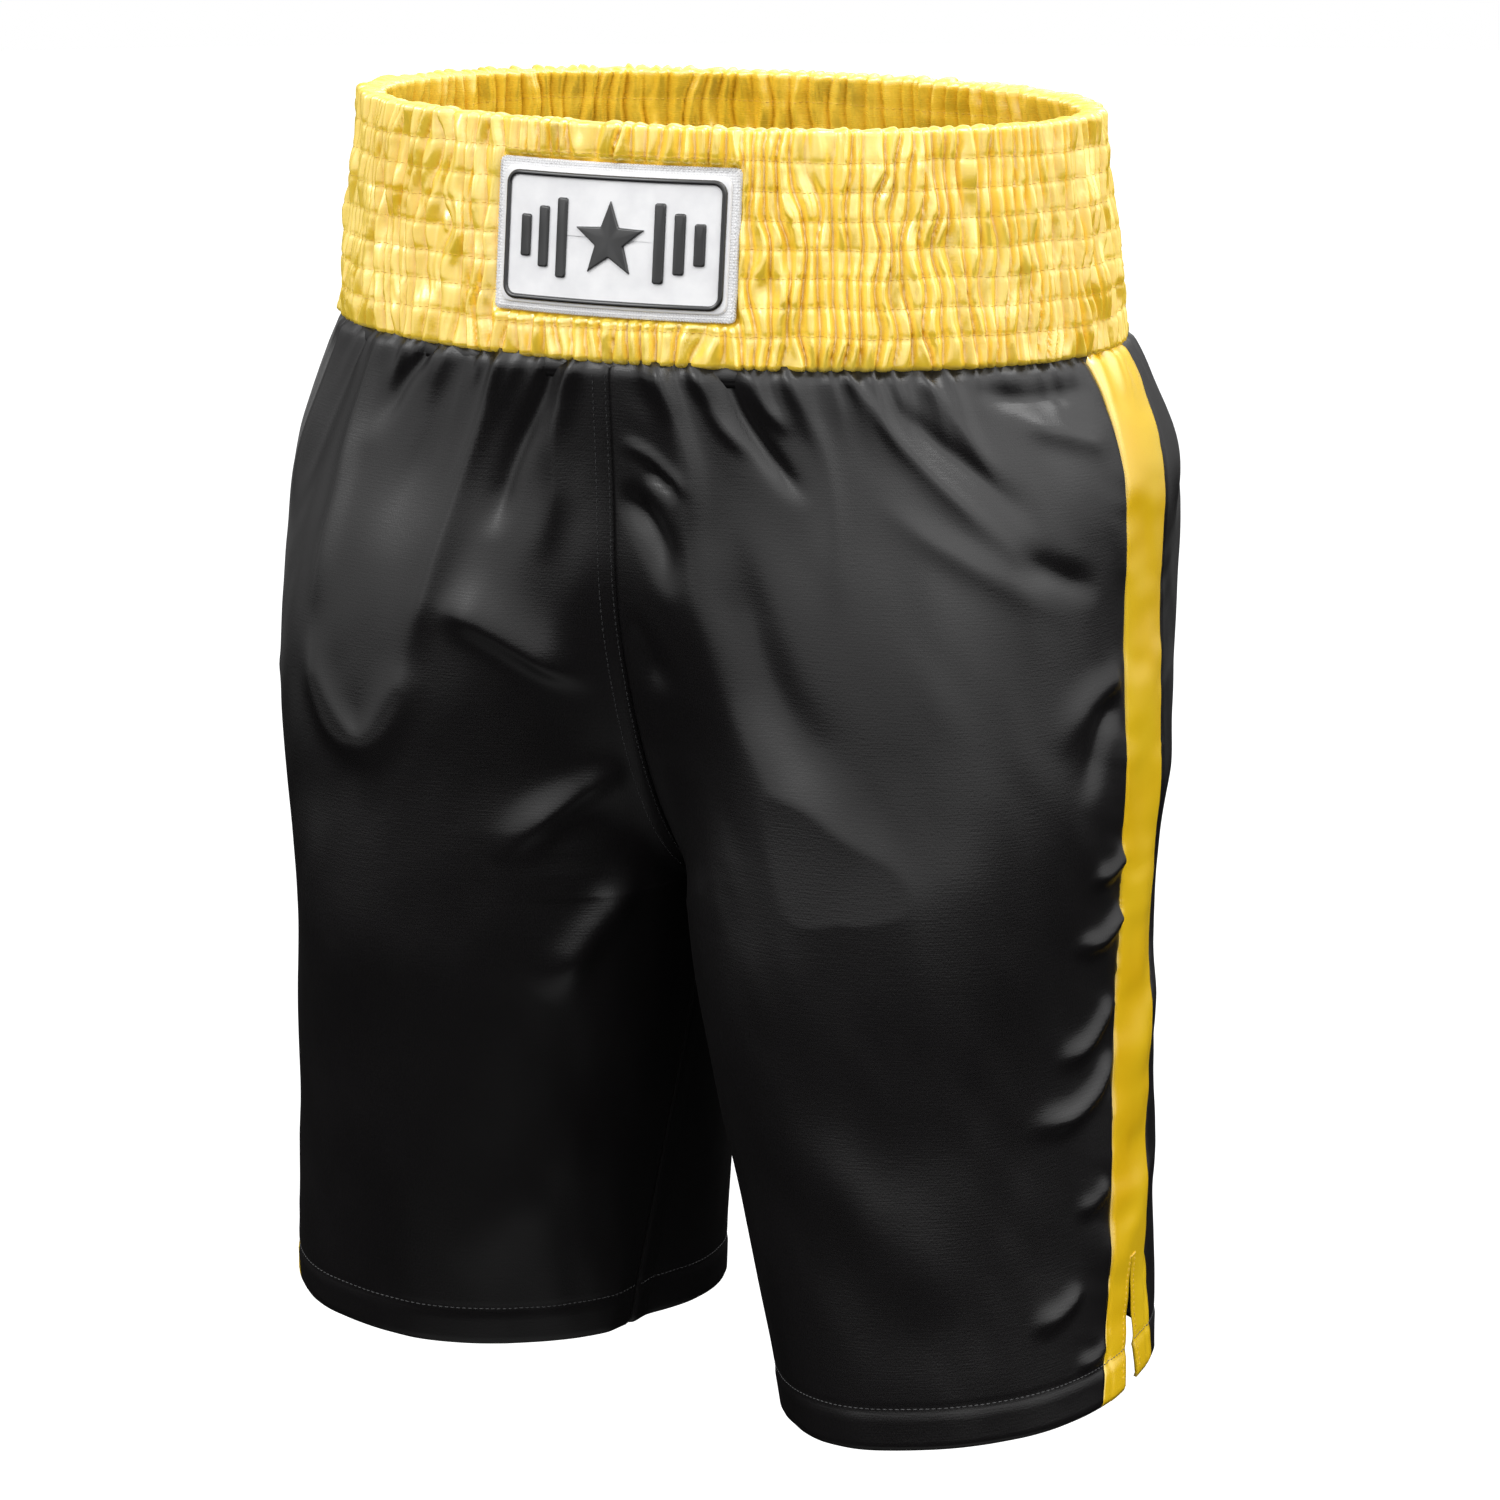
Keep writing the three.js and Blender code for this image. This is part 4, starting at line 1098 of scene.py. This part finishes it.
def make_waist_seam():
    """The overlocked allowance that joins the body to the waistband, a soft ring with its thread."""
    turn = np.arange(RING_POINTS)
    grid = []
    for inset, depth in RING_PROFILE:
        wobble = 0.35 * noise(turn / 2.2, np.full(RING_POINTS, depth / 4), 71, round(RING_POINTS / 2.2))
        grid.append(body_ring(depth, inset) + ring_inward(depth) * wobble[:, None])
    faces = grid_faces(len(grid), RING_POINTS, close_columns=True, close_rows=True)[:, ::-1]
    uv = sheet_uv(2 * turn, 3 * np.arange(len(grid)))
    ring = stand_for(add_mesh("waist_seam_allowance", grid, faces, BLACK, uv), "waist_seam")
    thread = overlock(
        "waist_seam_overlock", closed(grid[4]), closed(grid[2]), closed(ring_inward(105)), BLACK_THREAD,
        pitch=3.0, radius=0.24,
    )
    return [ring, thread]


panel_threads["left"] += make_waist_seam()


# ---------------------------------------------------------------- patch

PLATE_POINTS = 160
BORDER_POINTS = 400
FRAME_POINTS = 220
FRAME_STEPS = 11
BAR_POINTS = 72
SHOULDER_STEPS = 6
MIDDLE_RISE = 0.12


def on_patch(outline, out, x=0.0):
    """A flat outline bent round the front of the waistband, out from the cloth and moved across by x."""
    return patch_point(outline[:, 0] + x, outline[:, 1], out)


def rounded_box(width, height, corner, count):
    """Evenly stepped outline of a rounded rectangle, anticlockwise."""
    x, y = width / 2 - corner, height / 2 - corner
    arc = np.linspace(0, np.pi / 2, 13)
    points = []
    for cx, cy, start in ((x, -y, -np.pi / 2), (x, y, 0), (-x, y, np.pi / 2), (-x, -y, np.pi)):
        points += [(cx + corner * math.cos(start + a), cy + corner * math.sin(start + a)) for a in arc]
    points = closed(np.array(points))
    along = lengths_along(points)
    return sample(points, along, np.linspace(0, along[-1], count, endpoint=False))


def plate(name, width, height, corner, near, thickness, edge, material, rough=0.0):
    """A thin bent plate with a rounded rim, made of rings that shrink from its outline to its middle."""
    half_size = min(width, height) / 2
    rings = [(edge * k, near + thickness * math.sqrt(1 - (1 - k) ** 2) * 0.85 + thickness * 0.15)
             for k in (0, 0.12, 0.4, 1)]
    rings += [(inset, near + thickness) for inset in np.linspace(edge, half_size * 0.96, 9)[1:]]
    flat = []
    for inset, _ in rings:
        corner_left = max(corner - inset, 0.4)
        outline = rounded_box(width - 2 * inset, height - 2 * inset, corner_left, PLATE_POINTS)
        if rough and inset < edge:
            ragged = rough * noise(np.arange(PLATE_POINTS) / 1.3, np.zeros(PLATE_POINTS), 5, 123)
            outline = outline * (1 + ragged[:, None] / half_size)
        flat.append(outline)
    back = on_patch(flat[0], near)
    grid = np.array([back] + [on_patch(outline, out) for outline, (_, out) in zip(flat, rings)])
    count = len(grid) * PLATE_POINTS
    caps = [list(range(PLATE_POINTS))[::-1], list(range(count - PLATE_POINTS, count))]
    faces = grid_faces(len(grid), PLATE_POINTS, close_columns=True)[:, ::-1].tolist() + caps
    return add_mesh(name, grid, faces, material, np.array([flat[0], *flat]))


def pillow(name, outline_at, height, near, material, x=0.0):
    """A raised motif with a rounded shoulder: its outline shrinks as it rises."""
    rings = [(0, 0)]
    for k in range(SHOULDER_STEPS + 1):
        turn = math.pi / 2 * k / SHOULDER_STEPS
        rings.append((0.8 * (1 - math.cos(turn)), 0.25 + (height - 0.25) * math.sin(turn)))
    flat = [outline_at(inset) for inset, _ in rings]
    grid = np.array([on_patch(outline, near + out, x) for outline, (_, out) in zip(flat, rings)])
    count = len(flat[0])
    centre = patch_point(np.array([x]), np.array([0.0]), near + height + MIDDLE_RISE)
    points = np.concatenate([grid.reshape(-1, 3), centre])
    top = (len(grid) - 1) * count
    faces = grid_faces(len(grid), count, close_columns=True)[:, ::-1].tolist()
    faces += [[top + j, top + (j + 1) % count, len(points) - 1] for j in range(count)]
    faces += [list(range(count))[::-1]]
    uv = np.concatenate([np.array(flat).reshape(-1, 2), [[0, 0]]])
    return add_mesh(name, points, faces, material, uv)


def star_outline(inset):
    corners = []
    for k in range(10):
        radius = STAR_RADIUS - 2.2 * inset if k % 2 == 0 else STAR_RADIUS * STAR_WAIST - 1.1 * inset
        angle = math.pi / 2 + k * math.pi / 5
        corners.append((radius * math.cos(angle), radius * math.sin(angle)))
    corners = np.array(corners)
    ahead = np.roll(corners, -1, 0)
    shares = np.linspace(0.03, 0.97, 10)
    return np.concatenate([a + (b - a) * shares[:, None] for a, b in zip(corners, ahead)])


def bar_outline(height):
    """The outlines of a bar of one height, for each inset."""
    return lambda inset: rounded_box(
        BAR_WIDTH - 2 * inset, height - 2 * inset, max(1.0 - inset, 0.15), BAR_POINTS
    )


base_top = GAP + PATCH["thickness"]
face_out = base_top + GAP
raised_out = face_out + FACE["thickness"] + GAP
SUNK = 0.3


def make_patch_plates():
    base = plate(
        "patch_base_weave", PATCH["width"], PATCH["height"], 2.5, GAP, PATCH["thickness"],
        0.8, WHITE_WEAVE, 0.12,
    )
    face = plate(
        "patch_face_moulding", FACE["width"], FACE["height"], 4, face_out - SUNK, FACE["thickness"] + SUNK,
        0.9, WHITE_FACE,
    )
    stand_for(base, "patch_base")
    stand_for(face, "patch_face")
    return base


def sew_patch():
    """The stitches round the patch and the overlocking over its edge."""
    def line(larger, corner, out):
        outline = rounded_box(PATCH["width"] + larger, PATCH["height"] + larger, corner, BORDER_POINTS)
        return closed(on_patch(outline, out))

    border = line(-3.4, 2, base_top)
    inner, rim = line(-2.6, 2, base_top - 0.05), line(0.2, 2.6, GAP + 0.5)
    return [
        stitches("patch_border_stitch", border, straight_out(border), WHITE_THREAD, pitch=2.4, length=1.9),
        overlock("patch_edge_overlock", rim, inner, straight_out(inner), WHITE_THREAD, pitch=1.3),
    ]


def make_patch_frame():
    grid = []
    for turn in np.linspace(0, np.pi, FRAME_STEPS):
        across = FRAME["line"] / 2 * (1 - math.cos(turn))
        width, height = FRAME["width"] - 2 * across, FRAME["height"] - 2 * across
        outline = rounded_box(width, height, FRAME["corner"] - across, FRAME_POINTS)
        grid.append(on_patch(outline, raised_out - GAP + (RAISED + GAP) * math.sin(turn) ** 0.7))
    faces = grid_faces(FRAME_STEPS, FRAME_POINTS, close_columns=True, close_rows=True)[:, ::-1]
    stand_for(add_mesh("patch_frame_moulding", grid, faces, BLACK_FACE), "patch_frame")


def make_raised(cad_node, outline_at, x=0.0):
    piece = pillow(f"{cad_node}_moulding", outline_at, RAISED + GAP, raised_out - GAP, BLACK_FACE, x)
    stand_for(piece, cad_node)


patch_base = make_patch_plates()
patch_threads = sew_patch()
make_patch_frame()
make_raised("patch_star", star_outline)
for side, stance in STANCE.items():
    for k, height in enumerate(BAR_HEIGHTS):
        x = stance["side"] * (BAR_FIRST_X + k * BAR_PITCH)
        make_raised(f"patch_bar_{side}_{k + 1}", bar_outline(height), x)


# ---------------------------------------------------------------- outer tag

WEAVE_HALF = 0.22
TAG_COLUMNS = 25
TAG_ROOT_BACK = (-3.4, 2.6)
TAG_ROOT_FRONT = (-1.2, 1.1)
TAG_ROOT_FACING = (0.59, 0.81)

tag_origin = band_point(np.array(TAG["angle"]), -1.6, TAG["depth"])
tag_after, tag_before = (band_point(np.array(TAG["angle"] + turn), 0, 0) for turn in (0.01, -0.01))
tag_along = unit(tag_after - tag_before)
tag_out = unit(np.cross(tag_along, UP))
tag_across = np.linspace(-TAG["width"] / 2, TAG["width"] / 2, TAG_COLUMNS)


def tag_path():
    """The folded tag's middle line as (out, up) points: down in front, round the fold and up behind."""
    far, near = TAG["fold"] - TAG["leaf"] / 2, TAG["leaf"] / 2
    loop = TAG["fold"] / 2 - near
    down = np.linspace(0, TAG["length"] - TAG["fold"] / 2, 16)
    path = [(mix(0.55, far, smooth(0, 3, d)), -d) for d in down]
    for a in np.linspace(0, np.pi, 9)[1:-1]:
        path.append((TAG["fold"] / 2 + loop * math.cos(a), -down[-1] - loop * math.sin(a)))
    path += [(near, -d) for d in down[::-1]]
    return np.array(path)


def make_tag():
    """The tag's leaf, which swings on its hinge."""
    path = tag_path()
    tangent = unit(np.gradient(path, axis=0))
    sideways = np.stack([-tangent[:, 1], tangent[:, 0]], axis=-1)
    waves = 0.12 * noise(tag_across[None, :] / 6, np.arange(len(path))[:, None] / 9, 91)

    def wall(offset):
        flat = path + sideways * offset
        out = (flat[:, [0]] + waves)[..., None]
        up = (flat[:, [1]] + 0 * waves)[..., None]
        return tag_origin + out * tag_out + up * UP + tag_across[None, :, None] * tag_along

    uv = sheet_uv(tag_across, lengths_along(path))
    leaf = shell("outer_tag_weave", wall(WEAVE_HALF), wall(-WEAVE_HALF), WHITE_WEAVE, uv, "tag_leaf")
    return stand_for(leaf, "outer_tag")


def tag_root_line(share, offset):
    """A line along the sewn root, from share 0 in the waistband to 1 just behind the hinge."""
    out, up = (
        mix(back, front, share) + facing * offset
        for back, front, facing in zip(TAG_ROOT_BACK, TAG_ROOT_FRONT, TAG_ROOT_FACING)
    )
    return tag_origin + tag_across[:, None] * tag_along + tag_out * out + UP * up


def make_tag_root():
    """The tag's sewn root, which stays in the waistband, and its stitches."""
    front, back = (np.stack([tag_root_line(k / 4, offset) for k in range(5)]) for offset in (0.2, -0.2))
    outward = TAG_ROOT_FACING[0] * tag_out + TAG_ROOT_FACING[1] * UP
    return [
        shell("outer_tag_root", front, back, WHITE_WEAVE),
        stitches(
            "outer_tag_stitch", tag_root_line(0.6, 0.25), np.tile(outward, (TAG_COLUMNS, 1)), GOLD_THREAD,
            pitch=2.2, length=1.7,
        ),
    ]


tag = make_tag()
band_threads += make_tag_root()


# ---------------------------------------------------------------- care label

LABEL_COLUMNS = 22
LABEL_ROWS = 30
LABEL_ROOT = ((118.5, 105), (116.5, 106), (114.8, 107.8), (113.6, 109.6), (113.25, 111.0))
LABEL_GAP = 0.3

label_x = np.linspace(-LABEL["width"] / 2, LABEL["width"] / 2, LABEL_COLUMNS)


def make_label():
    """The care label's leaf, a little curled, which swings on its hinge."""
    label_d = np.linspace(0, LABEL["length"], LABEL_ROWS)
    x, d = np.meshgrid(label_x, label_d)
    curl = 1.6 * smooth(10, 48, d) * (x / 17) ** 2 + 0.25 * noise(x / 9, d / 11, 95)
    y = LABEL["y"] + LABEL["thickness"] / 2 - curl * smooth(0, 8, d)
    front, back = (np.stack([x, y + offset, -LABEL["depth"] - LABEL_GAP - d], axis=-1)
                   for offset in (-WEAVE_HALF, WEAVE_HALF))
    leaf = shell("care_label_weave", front, back, WHITE_WEAVE, sheet_uv(label_x, label_d), "label_leaf")
    return stand_for(leaf, "care_label")


def label_line(y, depth):
    return np.stack([label_x, np.full(LABEL_COLUMNS, y), np.full(LABEL_COLUMNS, -depth)], axis=-1)


def make_label_root():
    """The label's sewn root, which stays in the waist seam, and its stitches."""
    front, back = (
        np.stack([label_line(y + offset, depth + LABEL_GAP * offset) for y, depth in LABEL_ROOT])
        for offset in (-WEAVE_HALF, WEAVE_HALF)
    )
    outward = np.tile([0, -0.8, -0.3], (LABEL_COLUMNS, 1))
    return [
        shell("care_label_root", front, back, WHITE_WEAVE),
        stitches("care_label_stitch", label_line(115.1, 107.0), outward, BLACK_THREAD, pitch=2.6),
    ]


label = make_label()
panel_threads["left"] += make_label_root()


# ---------------------------------------------------------------- camera, light and floor

CAMERA = dict(turn=24.67, away=2.332, height=0.263, aim=-0.258, down=13.54, lens=126.26)
LIGHT_TARGET = (0, 0, -0.28)
FLOOR_HEIGHT = -0.85
FLOOR_HALF_SIZE = 9
ROOM_RADIUS = 8.5

# Brightness of the studio's panels every 15 degrees, from straight in front by the wearer's right side.
PANELS = (
    0.8, 0.8, 1.1, 0.8, 0.6, 0.5, 0.6, 0.2, 0.15, 0.4, 0.7, 0.6,
    0.4, 0.3, 0.4, 0.8, 0.9, 0.9, 1.1, 0.8, 0.7, 1.2, 0.9, 0.6, 0.8,
)

# How much higher the panels start, on the same steps: by the wearer's left side they start above the hips.
SILLS = ((0, 0.0), (13, 0.0), (15, 0.06), (20, 0.06), (22, 0.0), (24, 0.0))


def place_camera():
    turn = math.radians(CAMERA["turn"])
    yaw = turn + math.radians(CAMERA["aim"])
    down = math.radians(CAMERA["down"])
    forward = Vector((-math.sin(yaw) * math.cos(down), math.cos(yaw) * math.cos(down), -math.sin(down)))
    right = forward.cross(Vector((0, 0, 1))).normalized()
    camera = bpy.data.objects.new("camera", bpy.data.cameras.new("camera"))
    camera.data.lens = CAMERA["lens"]
    matrix = Matrix((right, right.cross(forward), -forward)).transposed().to_4x4()
    away = CAMERA["away"]
    matrix.translation = Vector((away * math.sin(turn), -away * math.cos(turn), CAMERA["height"]))
    camera.matrix_world = matrix
    bpy.context.collection.objects.link(camera)
    bpy.context.scene.camera = camera


def softbox(name, azimuth, elevation, distance, size, power):
    """A rectangular light aimed at the shorts. Azimuth 0 is straight in front, and 90 the wearer's left."""
    a, e = math.radians(azimuth), math.radians(elevation)
    back = Vector((math.sin(a) * math.cos(e), -math.cos(a) * math.cos(e), math.sin(e)))
    light = bpy.data.lights.new(name, "AREA")
    light.shape = "RECTANGLE"
    light.size, light.size_y = size
    light.energy = power
    lamp = bpy.data.objects.new(name, light)
    lamp.visible_camera = False
    lamp.location = Vector(LIGHT_TARGET) + back * distance
    lamp.rotation_euler = (-back).to_track_quat("-Z", "Y").to_euler()
    bpy.context.collection.objects.link(lamp)


def stage_material(name, colour, glow):
    material, tree, shader = new_material(name, 0.9, 0.0)
    paper = mottle(tree, node(tree, "ShaderNodeTexCoord").outputs["Object"], 40.0, 3.0)
    low, high = (tuple(c * share for c in colour) for share in (0.985, 1.0))
    tree.links.new(ramp(tree, paper, [(0.3, low), (0.7, high)]), shader.inputs["Base Color"])
    shader.inputs["Emission Color"].default_value = (1, 1, 1, 1)
    shader.inputs["Emission Strength"].default_value = glow
    return material


def add_floor():
    """A pale floor well below the hems, which doesn't light the shorts."""
    mesh = bpy.data.meshes.new("floor")
    corners = [(x * FLOOR_HALF_SIZE, y * FLOOR_HALF_SIZE, FLOOR_HEIGHT) for x, y in
               ((-1, -1), (1, -1), (1, 1), (-1, 1))]
    mesh.from_pydata(corners, [], [(0, 1, 2, 3)])
    mesh.materials.append(stage_material("pale_floor", (0.25, 0.25, 0.25), 0.88))
    floor = bpy.data.objects.new("floor", mesh)
    floor.visible_glossy = floor.visible_diffuse = False
    return floor


def add_room():
    """A white room round the floor that only the camera sees."""
    mesh = bpy.data.meshes.new("room")
    work = bmesh.new()
    bmesh.ops.create_icosphere(work, subdivisions=4, radius=ROOM_RADIUS)
    work.to_mesh(mesh)
    work.free()
    mesh.materials.append(stage_material("white_room", (0, 0, 0), 1.0))
    room = bpy.data.objects.new("room", mesh)
    for flag in ("visible_diffuse", "visible_glossy", "visible_transmission", "visible_shadow"):
        setattr(room, flag, False)
    return room


def light_world():
    """A pale studio: white panels all round above a sill, brighter overhead. Below them it is dark, with a
    faint glow from straight underneath."""
    world = bpy.data.worlds.new("studio")
    bpy.context.scene.world = world
    world.use_nodes = True
    tree = world.node_tree
    place = node(tree, "ShaderNodeTexCoord")
    parts = node(tree, "ShaderNodeSeparateXYZ", {"Vector": place.outputs["Generated"]}).outputs
    turn = calculate(tree, "ARCTAN2", parts["X"], parts["Y"])
    share = remap(tree, turn, -math.pi, math.pi)
    sill = ramp(tree, share, [(k / 24, (v, v, v)) for k, v in SILLS])
    above = calculate(tree, "SUBTRACT", parts["Z"], sill)
    height = remap(tree, above, -0.25, -0.09, 0.012, 1.0, "SMOOTHSTEP")
    panels = ramp(tree, share, [(k / 24, (v, v, v)) for k, v in enumerate(PANELS)])
    overhead = remap(tree, parts["Z"], 0.1, 0.4, 1.0, 2.2)
    underfoot = remap(tree, parts["Z"], -0.65, -0.95, 0.0, 0.25, "SMOOTHSTEP")
    strength = calculate(tree, "ADD", calculate(tree, "MULTIPLY", height, overhead), underfoot)
    light = node(tree, "ShaderNodeMix", {"Factor": 1.0}, data_type="RGBA", blend_type="MULTIPLY")
    tree.links.new(strength, light.inputs["A"])
    tree.links.new(panels, light.inputs["B"])
    background = tree.nodes["Background"]
    tree.links.new(light.outputs["Result"], background.inputs["Color"])
    background.inputs["Strength"].default_value = 1.0


place_camera()
softbox("key", -35, 38, 2.2, (1.2, 0.8), 10)
softbox("side_light", 92, 62, 1.1, (0.5, 0.5), 3)
softbox("back_light", 175, 40, 2.2, (1.4, 1.0), 9)
for stage_piece in (add_floor(), add_room()):
    bpy.context.collection.objects.link(stage_piece)
light_world()
bpy.context.scene.view_settings.view_transform = "Standard"
